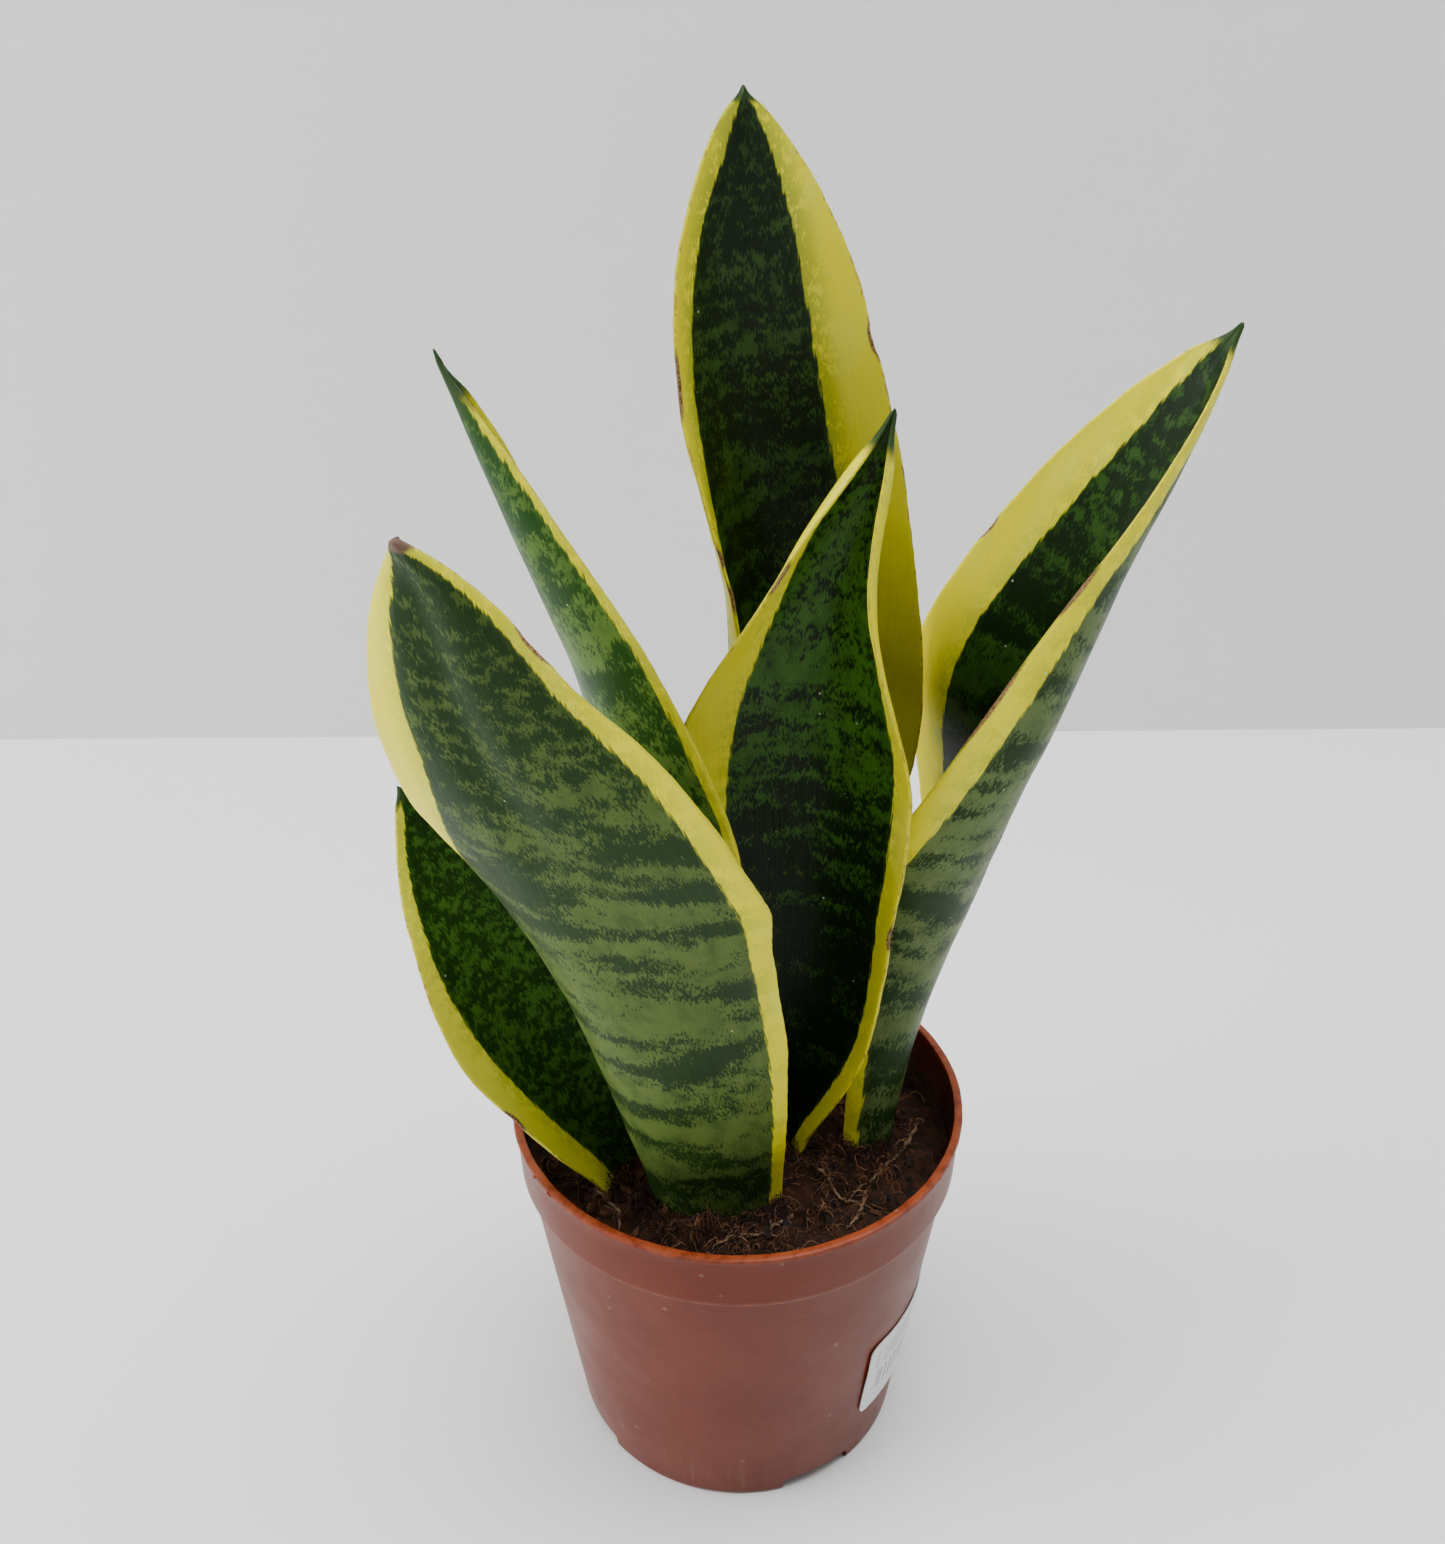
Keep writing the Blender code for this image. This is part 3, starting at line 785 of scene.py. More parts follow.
@dataclass(frozen=True)
class NurseryPlastic(Finish):
    """Satin terracotta plastic with scuffs, a rubbed lip and dusty lower wall.

    Attributes:
        body: main colour.
        shade: darker cloud colour.
        worn: colour of the trimmed lip and rubbed edges.
        inside: darker colour inside the pot, painted shade in the pot's hollow.
        dust: colour of dried splashes.
    """

    body: Colour = (0.135, 0.0145, 0.0006)
    shade: Colour = (0.108, 0.0108, 0.0004)
    worn: Colour = (0.24, 0.046, 0.014)
    inside: Colour = (0.07, 0.011, 0.004)
    dust: Colour = (0.30, 0.20, 0.15)

    def build(self, height: float) -> bpy.types.Material:
        """Build the material.

        Args:
            height: the pot's height in metres.

        Returns:
            The pot material.
        """
        made, sheet, shader = self.start("nursery_plastic")
        place = sheet.object_place()
        cloud = sheet.group(
            Effects.mottling(),
            Place=place,
            Base=self.body,
            Other=self.shade,
            Cloud_Scale=38.0,
            Grain_Scale=1400.0,
            Amount=0.7,
            Rough_Low=0.33,
            Rough_High=0.43,
        )
        colour = cloud.outputs["Color"]
        split = sheet.node("ShaderNodeSeparateXYZ")
        sheet.put(split.inputs[0], place)
        up = split.outputs["Z"]

        # Painted shade: the inside of the pot takes a darker colour.
        inner = sheet.ease(sheet.attribute("inner"), 0.4, 0.6)
        colour = sheet.blend(inner, colour, self.inside)
        top = sheet.ease(up, height - 1.2 * MM, height - 0.2 * MM)
        rub = sheet.noise(place, 260.0, 3.0, 0.6)
        colour = sheet.blend(sheet.times(top, sheet.ease(rub, 0.25, 0.6)), colour, self.worn)
        edge = sheet.times(sheet.attribute("edge"), sheet.ease(rub, 0.35, 0.65))
        colour = sheet.blend(sheet.times(edge, 0.55), colour, self.worn)

        streaks = sheet.noise(sheet.stretch(place, (420.0, 420.0, 24.0)), 1.0, 3.0, 0.6)
        scuff = sheet.noise(sheet.stretch(place, (60.0, 60.0, 900.0)), 1.0, 3.0, 0.7)
        scratch = sheet.times(sheet.ease(scuff, 0.63, 0.72), sheet.ease(streaks, 0.45, 0.7))
        colour = sheet.blend(sheet.times(scratch, 0.22), colour, self.dust)
        low = sheet.times(sheet.ease(up, 30 * MM, 0.0), sheet.ease(streaks, 0.45, 0.8))
        colour = sheet.blend(sheet.times(low, 0.25), colour, self.dust)
        drops = sheet.group(Effects.flecks(), Place=place, Scale=210.0, Size=0.14, Share=0.16).outputs[0]
        colour = sheet.blend(sheet.times(drops, 0.35), colour, self.dust)
        grime = sheet.times(inner, sheet.ease(up, height - 4 * MM, height - 12 * MM))
        colour = sheet.blend(sheet.times(grime, sheet.ease(rub, 0.35, 0.6)), colour, (0.035, 0.016, 0.009))
        sheet.put(shader.inputs["Base Color"], colour)

        dull = sheet.plus(cloud.outputs["Rough"], sheet.times(scratch, 0.2))
        dull = sheet.math("MAXIMUM", dull, sheet.times(grime, 0.8))
        sheet.put(shader.inputs["Roughness"], sheet.plus(dull, sheet.times(low, 0.2)))
        shader.inputs["Specular IOR Level"].default_value = 0.22
        broad = sheet.noise(place, 55.0, 2.0, 0.5)
        height_map = sheet.plus(sheet.times(broad, 1.6), sheet.times(cloud.outputs["Grain"], 0.12))
        height_map = sheet.plus(height_map, sheet.times(streaks, 0.12))
        height_map = sheet.minus(height_map, sheet.times(scratch, 0.15))
        sheet.put(shader.inputs["Normal"], sheet.bump(height_map, 0.00022))
        return made


@dataclass(frozen=True)
class CoirMix(Finish):
    """Damp coir mix: dark brown ground, lighter chips and fibres.

    Attributes:
        deep: darkest colour; painted shade in the hollows of the ground and in the low grain of the bits, and
            the darkest tone of the bits.
        brown: main colour.
        tan: colour of the driest bits.
    """

    deep: Colour = (0.004, 0.0014, 0.0006)
    brown: Colour = (0.036, 0.0115, 0.0042)
    tan: Colour = (0.12, 0.047, 0.018)

    def ground(self) -> bpy.types.Material:
        """Build the material of the mix's surface.

        Returns:
            The material.
        """
        made, sheet, shader = self.start("coir_ground")
        place = sheet.object_place()
        coarse = sheet.noise(place, 260.0, 5.0, 0.65)
        thread = sheet.noise(sheet.stretch(place, (1500.0, 420.0, 800.0)), 1.0, 4.0, 0.65)
        # Painted shade: the ground is darkest where its bump height is lowest, in the hollows.
        colour = sheet.blend(sheet.ease(coarse, 0.3, 0.62), self.deep, self.brown)
        colour = sheet.blend(sheet.times(sheet.ease(thread, 0.58, 0.72), 0.5), colour, self.tan)
        sheet.put(shader.inputs["Base Color"], colour)
        shader.inputs["Roughness"].default_value = 0.92
        shader.inputs["Specular IOR Level"].default_value = 0.25
        height = sheet.plus(coarse, sheet.times(thread, 0.5))
        sheet.put(shader.inputs["Normal"], sheet.bump(height, 0.0009))
        return made

    def bits(self, name: str, light: Colour) -> bpy.types.Material:
        """Build the material of loose bits, which differ by their own tone.

        Args:
            name: material name.
            light: colour of the lightest bits.

        Returns:
            The material.
        """
        made, sheet, shader = self.start(name)
        place = sheet.object_place()
        tone = sheet.attribute("tone")
        grain = sheet.noise(place, 1900.0, 3.0, 0.6)
        colour = sheet.blend(sheet.ease(tone, 0.0, 0.55), self.deep, self.brown)
        colour = sheet.blend(sheet.ease(tone, 0.5, 1.0), colour, light)
        # Painted shade: the bits darken where their bumped grain is low.
        colour = sheet.blend(sheet.times(sheet.ease(grain, 0.5, 0.25), 0.6), colour, self.deep)
        sheet.put(shader.inputs["Base Color"], colour)
        shader.inputs["Roughness"].default_value = 0.85
        shader.inputs["Specular IOR Level"].default_value = 0.3
        sheet.put(shader.inputs["Normal"], sheet.bump(grain, 0.00025))
        return made


@dataclass(frozen=True)
class RootBark(Finish):
    """Dry pale root skin with darker rings.

    Attributes:
        pale: main colour.
        dark: colour of the rings and soil stains.
    """

    pale: Colour = (0.18, 0.105, 0.052)
    dark: Colour = (0.055, 0.022, 0.010)

    def build(self) -> bpy.types.Material:
        """Build the material.

        Returns:
            The root material.
        """
        made, sheet, shader = self.start("root_bark")
        place = sheet.object_place()
        stain = sheet.noise(place, 330.0, 4.0, 0.6)
        along = sheet.noise(sheet.stretch(place, (1300.0, 1300.0, 1300.0)), 1.0, 2.0, 0.6)
        colour = sheet.blend(sheet.ease(stain, 0.42, 0.68), self.pale, self.dark)
        colour = sheet.blend(sheet.times(along, 0.35), colour, self.dark)
        sheet.put(shader.inputs["Base Color"], colour)
        sheet.put(shader.inputs["Roughness"], sheet.math("MULTIPLY_ADD", stain, 0.3, 0.55))
        sheet.put(shader.inputs["Normal"], sheet.bump(along, 0.0001))
        return made


@dataclass(frozen=True)
class StickerFilm(Finish):
    """Satin white sticker film with a plain grey stripe panel and no lettering.

    Attributes:
        film: colour of the film.
        ink: colour of the stripes.
    """

    film: Colour = (0.72, 0.73, 0.74)
    ink: Colour = (0.10, 0.11, 0.15)

    def build(self) -> bpy.types.Material:
        """Build the material.

        Returns:
            The sticker material.
        """
        made, sheet, shader = self.start("sticker_film")
        place = sheet.attribute("panel", "Vector")
        split = sheet.node("ShaderNodeSeparateXYZ")
        sheet.put(split.inputs[0], place)
        across, up = split.outputs["X"], split.outputs["Y"]
        mark = sheet.noise(sheet.stretch(place, (900.0, 0.0, 0.0)), 1.0, 0.0, 0.5)
        bars = sheet.math("GREATER_THAN", mark, 0.52)
        tall = sheet.times(sheet.math("GREATER_THAN", up, -7.5 * MM), sheet.math("LESS_THAN", up, 0.5 * MM))
        wide = sheet.times(
            sheet.math("GREATER_THAN", across, -18 * MM), sheet.math("LESS_THAN", across, 2 * MM)
        )
        printed = sheet.times(bars, sheet.times(tall, wide))
        rows = sheet.math("GREATER_THAN", sheet.math("FRACT", sheet.times(up, 430.0)), 0.6)
        gaps = sheet.math(
            "GREATER_THAN", sheet.noise(sheet.stretch(place, (330.0, 0.0, 0.0)), 1.0, 1.0, 0.5), 0.4
        )
        block = sheet.times(sheet.math("GREATER_THAN", up, 2.6 * MM), sheet.math("LESS_THAN", up, 11.0 * MM))
        block = sheet.times(block, sheet.math("GREATER_THAN", across, -19 * MM))
        block = sheet.times(block, sheet.math("LESS_THAN", across, 8 * MM))
        lines = sheet.times(sheet.times(rows, gaps), block)
        printed = sheet.math("MAXIMUM", printed, sheet.times(lines, 0.7))
        fade = sheet.noise(place, 700.0, 3.0, 0.6)
        printed = sheet.times(printed, sheet.ease(fade, 0.2, 0.5))
        cloud = sheet.noise(place, 120.0, 3.0, 0.5)
        film = sheet.blend(sheet.times(cloud, 0.2), self.film, (0.55, 0.55, 0.53))
        sheet.put(shader.inputs["Base Color"], sheet.blend(sheet.times(printed, 0.8), film, self.ink))
        sheet.put(shader.inputs["Roughness"], sheet.math("MULTIPLY_ADD", cloud, 0.15, 0.32))
        sheet.put(shader.inputs["Normal"], sheet.bump(cloud, 0.0001))
        return made


# ---------------------------------------------------------------- leaves


@dataclass(frozen=True)
class Nick:
    """A bite out of a margin, with dry tissue round it.

    Attributes:
        side: which margin.
        place: how far up the leaf, 0 to 1.
        depth: how deep, mm.
        length: how long, mm.
    """

    side: Side
    place: float
    depth: float = 0.8
    length: float = 3.0


@dataclass
class SnakeLeaf:
    """One stiff channelled leaf, lofted from stations at equal steps from its foot to its tip.

    Attributes:
        name: the leaf's node name, also used for its object.
        path: midrib points (x, y, height above the mix), mm.
        width: blade width measured round its channel, mm.
        left: how far the left half turns up towards the channel side, degrees.
        right: the same for the right half.
        facing: direction the channel faces, degrees from +X.
        yellow_left: width of the left yellow margin, mm.
        yellow_right: width of the right yellow margin, mm.
        pale_inner: share of pale bands on the channel side.
        pale_outer: share of pale bands on the outer side.
        finish: the leaf's skin.
        nicks: bites out of the margins.
        nod: how far the channel looks up, degrees.
        taper: how late the blade closes to its tip.
        tip: how the leaf ends.
        spine: length of the awl at the tip, mm.
        wave: height of the slow waves in the margins, mm.
        crease: depth of the fold along the midrib near the tip, mm.
        slant: how far the bands drop towards the left margin, per unit of width.
        seed: shifts the patterns.
        mix_top: height of the mix's nominal surface, mm.
        across: steps across half of one side of the blade.
        along: steps along the leaf.
        margin_thickness: thickness at the margins, mm.
        blade_thickness: thickness along the midrib, mm.
        sheath_thickness: thickness at the foot, mm.
        tip_width: width left at the very tip, mm.
        buried: rows at the foot that are sunk into the mix.
        sink: how far the lowest row is sunk, mm.
    """

    name: str
    path: tuple
    width: Stations
    left: Stations
    right: Stations
    facing: Stations
    yellow_left: Stations
    yellow_right: Stations
    pale_inner: Stations
    pale_outer: Stations
    finish: BladeFinish
    nicks: tuple[Nick, ...] = ()
    nod: float = 0.0
    taper: float = 8.0
    tip: TipStyle = TipStyle.BLUNT
    spine: float = 4.0
    wave: float = 0.5
    crease: float = 0.0
    slant: float = 0.0
    seed: float = 0.0
    mix_top: float = 92.0
    across: int = 22
    along: int = 170
    margin_thickness: float = 0.8
    blade_thickness: float = 2.0
    sheath_thickness: float = 3.4
    tip_width: float = 1.1
    buried: int = 12
    sink: float = 16.0

    def frame_lines(self, t: np.ndarray) -> tuple[np.ndarray, ...]:
        """Work out the midrib and the directions square to it.

        Args:
            t: positions along the leaf.

        Returns:
            Midrib points in mm, channel direction, direction to the right margin and length from the foot.
        """
        path = through(self.path, t) + np.array([0.0, 0.0, self.mix_top])
        tangent = np.gradient(path, t, axis=0)
        tangent /= np.linalg.norm(tangent, axis=1)[:, None]
        facing = np.radians(through(self.facing, t))
        nod = math.radians(self.nod)
        level, up = math.cos(nod), math.sin(nod)
        look = np.stack([np.cos(facing) * level, np.sin(facing) * level, np.full_like(facing, up)], axis=1)
        inward = look - (look * tangent).sum(axis=1)[:, None] * tangent
        inward /= np.linalg.norm(inward, axis=1)[:, None]
        length = np.concatenate([[0.0], np.cumsum(np.linalg.norm(np.diff(path, axis=0), axis=1))])
        return path, inward, np.cross(tangent, inward), length

    def bitten(self, side: int, length: np.ndarray) -> tuple[np.ndarray, np.ndarray]:
        """Find how much of a margin is missing.

        Args:
            side: -1 for the left margin, 1 for the right.
            length: distances from the foot, mm.

        Returns:
            Depth of the bites in mm and closeness to one, 0 to 1.
        """
        depth, near = np.zeros_like(length), np.zeros_like(length)
        for nick in self.nicks:
            if nick.side.value != side:
                continue
            away = (length - nick.place * length[-1]) / nick.length
            depth += nick.depth * np.exp(-(away**4))
            near = np.maximum(near, np.exp(-((away / 1.5) ** 2)))
        return depth, near

    @staticmethod
    def soften(values: np.ndarray, reach: int = 9) -> np.ndarray:
        """Average values with their neighbours, so that a section never changes abruptly.

        Args:
            values: values along the leaf.
            reach: neighbours on each side.

        Returns:
            The averaged values.
        """
        padded = np.pad(values, reach, mode="edge")
        bell = np.hanning(2 * reach + 3)[1:-1]
        return np.convolve(padded, bell / bell.sum(), mode="valid")

    def build(self) -> bpy.types.Object:
        """Loft the leaf as one closed skin from a grid wrapped round it.

        Returns:
            The finished leaf.
        """
        s = np.linspace(0.0, 1.0, self.along + 1)
        t = 1.0 - (1.0 - s) ** 1.35
        path, inward, side, length = self.frame_lines(t)
        width = through(self.width, t) * (1.0 - t**self.taper) + self.tip_width
        awl = smooth(self.spine * 2.0, 0.0, length[-1] - length)
        if self.tip is not TipStyle.DRY:
            width *= 1.0 - 0.55 * smooth(self.spine, 0.0, length[-1] - length)
        turn = {
            -1: self.soften(np.radians(through(self.left, t))),
            1: self.soften(np.radians(through(self.right, t))),
        }

        steps = 4 * self.across
        k = np.arange(steps + 1)
        lap = np.where(k <= 2 * self.across, k, 4 * self.across - k) / self.across - 1.0
        inner = np.where((k > 0) & (k < 2 * self.across), 1.0, 0.0)
        inner[[0, 2 * self.across, steps]] = 0.5
        u = np.sign(lap) * (1.0 - (1.0 - np.abs(lap)) ** 1.45)

        obj = Workshop.grid(self.name, steps, self.along)
        rows, columns = self.along + 1, steps + 1
        points = np.zeros((rows, columns, 3))
        blade = np.zeros((rows, columns, 3))
        marks = {
            key: np.zeros((rows, columns)) for key in ("green", "rim_gap", "tip_gap", "face", "scar", "pale")
        }
        left_gap, right_gap = through(self.yellow_left, t), through(self.yellow_right, t)
        pale = {0.0: through(self.pale_outer, t), 1.0: through(self.pale_inner, t)}
        pale[0.5] = (pale[0.0] + pale[1.0]) / 2.0
        bites = {hand: self.bitten(hand, length) for hand in (-1, 1)}
        for column in range(columns):
            hand = -1 if u[column] < 0.0 else 1
            a = abs(u[column])
            full = width / 2.0
            jag = 0.10 * ripple(length * 1.3, self.seed + hand)
            jag = jag + 0.22 * ripple(length / 7.0, self.seed * 2 + hand, 3)
            half = np.maximum(full - (bites[hand][0] - jag) * a**6 * smooth(0.5, 4.0, full), 0.2)
            bend = np.maximum(turn[hand], 0.02)
            angle = bend * a
            reach = half * np.sin(angle) / bend * hand
            rise = half * (1.0 - np.cos(angle)) / bend
            normal = inward * np.cos(angle)[:, None] - side * (hand * np.sin(angle))[:, None]
            swell = self.sheath_thickness - self.blade_thickness
            middle = self.blade_thickness + swell * (1 - t) ** 3 - 0.8 * t**6
            thick = self.margin_thickness + (middle - self.margin_thickness) * (1.0 - a**2.5)
            thick = np.minimum(thick, width * 0.9)
            lip = np.clip((a - (1.0 - 0.5 / half)) / (0.5 / half), 0.0, 1.0)
            thick = thick * np.sqrt(np.maximum(1.0 - lip**2, 0.0))
            if self.tip is TipStyle.DRY:
                thick = thick + 1.1 * awl * (1.0 - a**2)
            sway = self.wave * a**3 * ripple(length / 16.0, self.seed + 5.0 * hand, 3) * smooth(0.0, 0.2, t)
            sway = sway + 0.18 * ripple(length / 11.0 + 4.0 * a * hand, self.seed + 9.0, 3)
            fold = self.crease * np.exp(-((a * half / 5.0) ** 2))
            sway = sway + fold * smooth(0.55, 0.8, t) * smooth(1.0, 0.93, t)
            offset = sway + (
                thick / 2.0 if inner[column] > 0.75 else -thick / 2.0 if inner[column] < 0.25 else 0.0
            )
            skin = path + side * reach[:, None] + inward * rise[:, None]
            points[:, column] = skin + normal * offset[:, None]
            blade[:, column, 0] = a * half * hand / 10.0
            blade[:, column, 1] = length / 10.0 + self.slant * blade[:, column, 0]
            blade[:, column, 2] = self.seed * 3.7 + (0.0 if inner[column] > 0.25 else 11.0)
            to_left = half + a * half * hand
            to_right = half - a * half * hand
            marks["green"][:, column] = np.minimum(
                to_left - np.minimum(left_gap, 0.52 * half), to_right - np.minimum(right_gap, 0.52 * half)
            )
            marks["rim_gap"][:, column] = np.minimum(to_left, to_right)
            marks["tip_gap"][:, column] = (length[-1] - length) / 10.0
            marks["face"][:, column] = inner[column]
            marks["scar"][:, column] = bites[hand][1] * smooth(1.7, 0.0, half * (1.0 - a))
            marks["pale"][:, column] = pale[float(inner[column])]
        cap = path[-1] + (path[-1] - path[-2]) / np.linalg.norm(path[-1] - path[-2]) * self.tip_width * 0.3
        points[-1] = cap + (points[-1] - cap) * 0.5
        for row in range(self.buried):
            points[row, :, 2] -= self.sink * (1.0 - row / self.buried) ** 2

        column, row = Workshop.cells(obj, steps, self.along)
        Workshop.place_points(obj, points[row, column] * MM)
        Workshop.mark(obj, "blade", blade[row, column])
        for key, values in marks.items():
            Workshop.mark(obj, key, values[row, column])
        Workshop.seal(obj, bpy.ops.mesh.edge_face_add)
        Workshop.dress(obj, self.finish.build(), 75.0)
        Workshop.hand_over(obj, self.name, self.name)
        return obj


def leaf_set() -> list[SnakeLeaf]:
    """List the six leaves.

    Returns:
        The leaves, tallest first.
    """
    return [
        SnakeLeaf(
            "leaf_tall",
            path=((13, 22, -8), (15, 31, 48), (13, 34, 102), (12, 30, 151), (5, 22, 205), (2, 14, 259)),
            width=(24, 48, 72, 64, 61, 64),
            taper=8.5,
            left=(110, 100, 80, 102, 70, 45),
            right=(60, 45, 40, 35, 30, 40),
            facing=(-60, -60, -65, -75, -80, -85),
            yellow_left=(5, 5, 6, 7, 8, 5),
            yellow_right=(10, 14, 20, 21, 15, 4),
            pale_inner=(0.3, 0.4, 0.42, 0.45, 0.42, 0.25),
            pale_outer=(0.5, 0.6, 0.7, 0.7, 0.6, 0.4),
            finish=BladeFinish(
                "leaf_tall_skin",
                inner_pale=(0.034, 0.082, 0.012),
                tip_reach=0.35,
                bands=0.75,
                spacing=1.2,
                blush=0.7,
            ),
            nicks=(
                Nick(Side.LEFT, 0.62, 0.7, 3.0),
                Nick(Side.LEFT, 0.66, 0.5, 2.0),
                Nick(Side.LEFT, 0.8, 0.4, 5.0),
                Nick(Side.RIGHT, 0.8, 0.5, 4.0),
                Nick(Side.RIGHT, 0.35, 0.4, 2.0),
            ),
            seed=1.3,
        ),
        SnakeLeaf(
            "leaf_right",
            path=((37, -8, -8), (47, 4, 34), (62, 10, 75), (71, 9.5, 122), (85, 8, 166), (105, 4, 214)),
            width=(20, 37, 77, 76, 60, 44),
            left=(90, 62, 58, 22, 26, 40),
            right=(100, 92, 112, 143, 104, 62),
            facing=(150, 150, 168, 209, 208, 209),
            yellow_left=(6, 7, 10, 13, 12, 5),
            yellow_right=(4, 5, 7, 7, 5, 3),
            pale_inner=(0.3, 0.3, 0.35, 0.4, 0.4, 0.3),
            pale_outer=(0.3, 0.48, 0.52, 0.5, 0.42, 0.3),
            finish=BladeFinish("leaf_right_skin", outer_pale=(0.115, 0.165, 0.05), tip_reach=0.75),
            nicks=(
                Nick(Side.RIGHT, 0.62, 0.5, 9.0),
                Nick(Side.RIGHT, 0.75, 0.4, 5.0),
                Nick(Side.LEFT, 0.72, 0.4, 3.0),
            ),
            tip=TipStyle.SPINE,
            spine=9.0,
            tip_width=2.4,
            seed=2.9,
        ),
        SnakeLeaf(
            "leaf_middle",
            path=((6, -3, -8), (15, -2, 38), (17, 0, 80), (17, 0, 122), (21.5, -2, 162), (33, -4, 199)),
            width=(15, 46, 58, 61, 38, 22),
            taper=16.0,
            left=(70, 58, 37, 32, 90, 150),
            right=(80, 75, 75, 75, 118, 150),
            facing=(-95, -95, -95, -95, -95, -95),
            yellow_left=(5, 6, 9, 13, 8, 3),
            yellow_right=(4, 5, 7, 7, 6, 3),
            pale_inner=(0.02, 0.12, 0.3, 0.5, 0.62, 0.45),
            pale_outer=(0.3, 0.5, 0.7, 0.7, 0.5, 0.3),
            finish=BladeFinish(
                "leaf_middle_skin",
                inner_dark_and_shade=(0.0016, 0.0065, 0.0012),
                inner_pale=(0.040, 0.118, 0.011),
                tip_reach=1.1,
                bands=0.75,
                spacing=1.5,
            ),
            nicks=(Nick(Side.RIGHT, 0.4, 0.5, 3.0), Nick(Side.LEFT, 0.82, 0.4, 3.0)),
            tip=TipStyle.SPINE,
            spine=12.0,
            seed=4.1,
        ),
        SnakeLeaf(
            "leaf_front",
            path=(
                (-8, -30, -8),
                (-18, -38, 36),
                (-27, -46, 76),
                (-37.5, -52, 114),
                (-54, -57, 154),
                (-61, -60, 192),
            ),
            width=(40, 62, 75, 80, 60, 66),
            taper=7.5,
            left=(40, 35, 52, 10, 45, 50),
            right=(100, 125, 112, 52, 25, 50),
            facing=(85, 80, 75, 70, 65, 60),
            yellow_left=(4, 4.6, 6.2, 6, 3.5, 2),
            yellow_right=(5, 6, 8, 12, 14, 8),
            pale_inner=(0.3, 0.3, 0.4, 0.4, 0.4, 0.3),
            pale_outer=(0.25, 0.62, 0.58, 0.42, 0.34, 0.22),
            finish=BladeFinish(
                "leaf_front_skin", outer_pale=(0.095, 0.145, 0.028), tip=(0.14, 0.085, 0.06), tip_reach=0.28
            ),
            nicks=(
                Nick(Side.RIGHT, 0.6, 0.8, 3.0),
                Nick(Side.RIGHT, 0.56, 0.5, 2.0),
                Nick(Side.LEFT, 0.88, 0.3, 4.0),
            ),
            tip=TipStyle.DRY,
            spine=3.0,
            crease=2.4,
            slant=-0.25,
            seed=5.7,
        ),
        SnakeLeaf(
            "leaf_back_left",
            path=(
                (-14, -9, -8), (-19, -14, 43), (-23.5, -12, 88), (-33, -6, 133), (-48, -3, 173), (-62, 0, 211)
            ),
            width=(18, 40, 58, 60, 40, 12),
            taper=10.0,
            left=(90, 75, 62, 58, 70, 90),
            right=(90, 95, 60, 20, 30, 90),
            facing=(45, 45, 35, 16, 8, 0),
            yellow_left=(3, 3, 2.6, 2.2, 1.8, 0.6),
            yellow_right=(4, 6, 8, 7, 3.5, 1),
            pale_inner=(0.3, 0.3, 0.35, 0.4, 0.4, 0.3),
            pale_outer=(0.5, 0.7, 0.75, 0.55, 0.35, 0.2),
            finish=BladeFinish(
                "leaf_back_left_skin",
                outer_dark=(0.012, 0.055, 0.008),
                outer_pale=(0.12, 0.22, 0.038),
                tip_reach=1.6,
            ),
            nicks=(Nick(Side.RIGHT, 0.7, 0.4, 4.0),),
            tip=TipStyle.SPINE,
            spine=12.0,
            seed=7.2,
        ),
        SnakeLeaf(
            "leaf_low_left",
            path=((-23, -14, -8), (-40, -11, 18), (-52, -7, 44), (-60, -4, 66), (-70, -2, 88), (-81, 0, 108)),
            width=(15, 40, 52, 50, 40, 30),
            nod=20.0,
            left=(70, 60, 40, 35, 35, 50),
            right=(70, 60, 45, 35, 35, 50),
            facing=(-50, -48, -52, -56, -60, -60),
            yellow_left=(8, 10, 9, 6, 4, 3),
            yellow_right=(4, 5, 6, 6, 5, 3),
            pale_inner=(0.35, 0.4, 0.45, 0.45, 0.4, 0.3),
            pale_outer=(0.5, 0.6, 0.7, 0.7, 0.5, 0.3),
            finish=BladeFinish(
                "leaf_low_left_skin",
                inner_dark_and_shade=(0.005, 0.022, 0.003),
                inner_pale=(0.045, 0.125, 0.016),
                yellow=(0.84, 0.78, 0.055),
                tip_reach=0.5,
                bands=0.25,
                spacing=1.3,
            ),
            nicks=(Nick(Side.LEFT, 0.35, 0.4, 3.0),),
            tip=TipStyle.SPINE,
            spine=4.0,
            along=110,
            seed=8.8,
        ),
    ]


# ---------------------------------------------------------------- pot


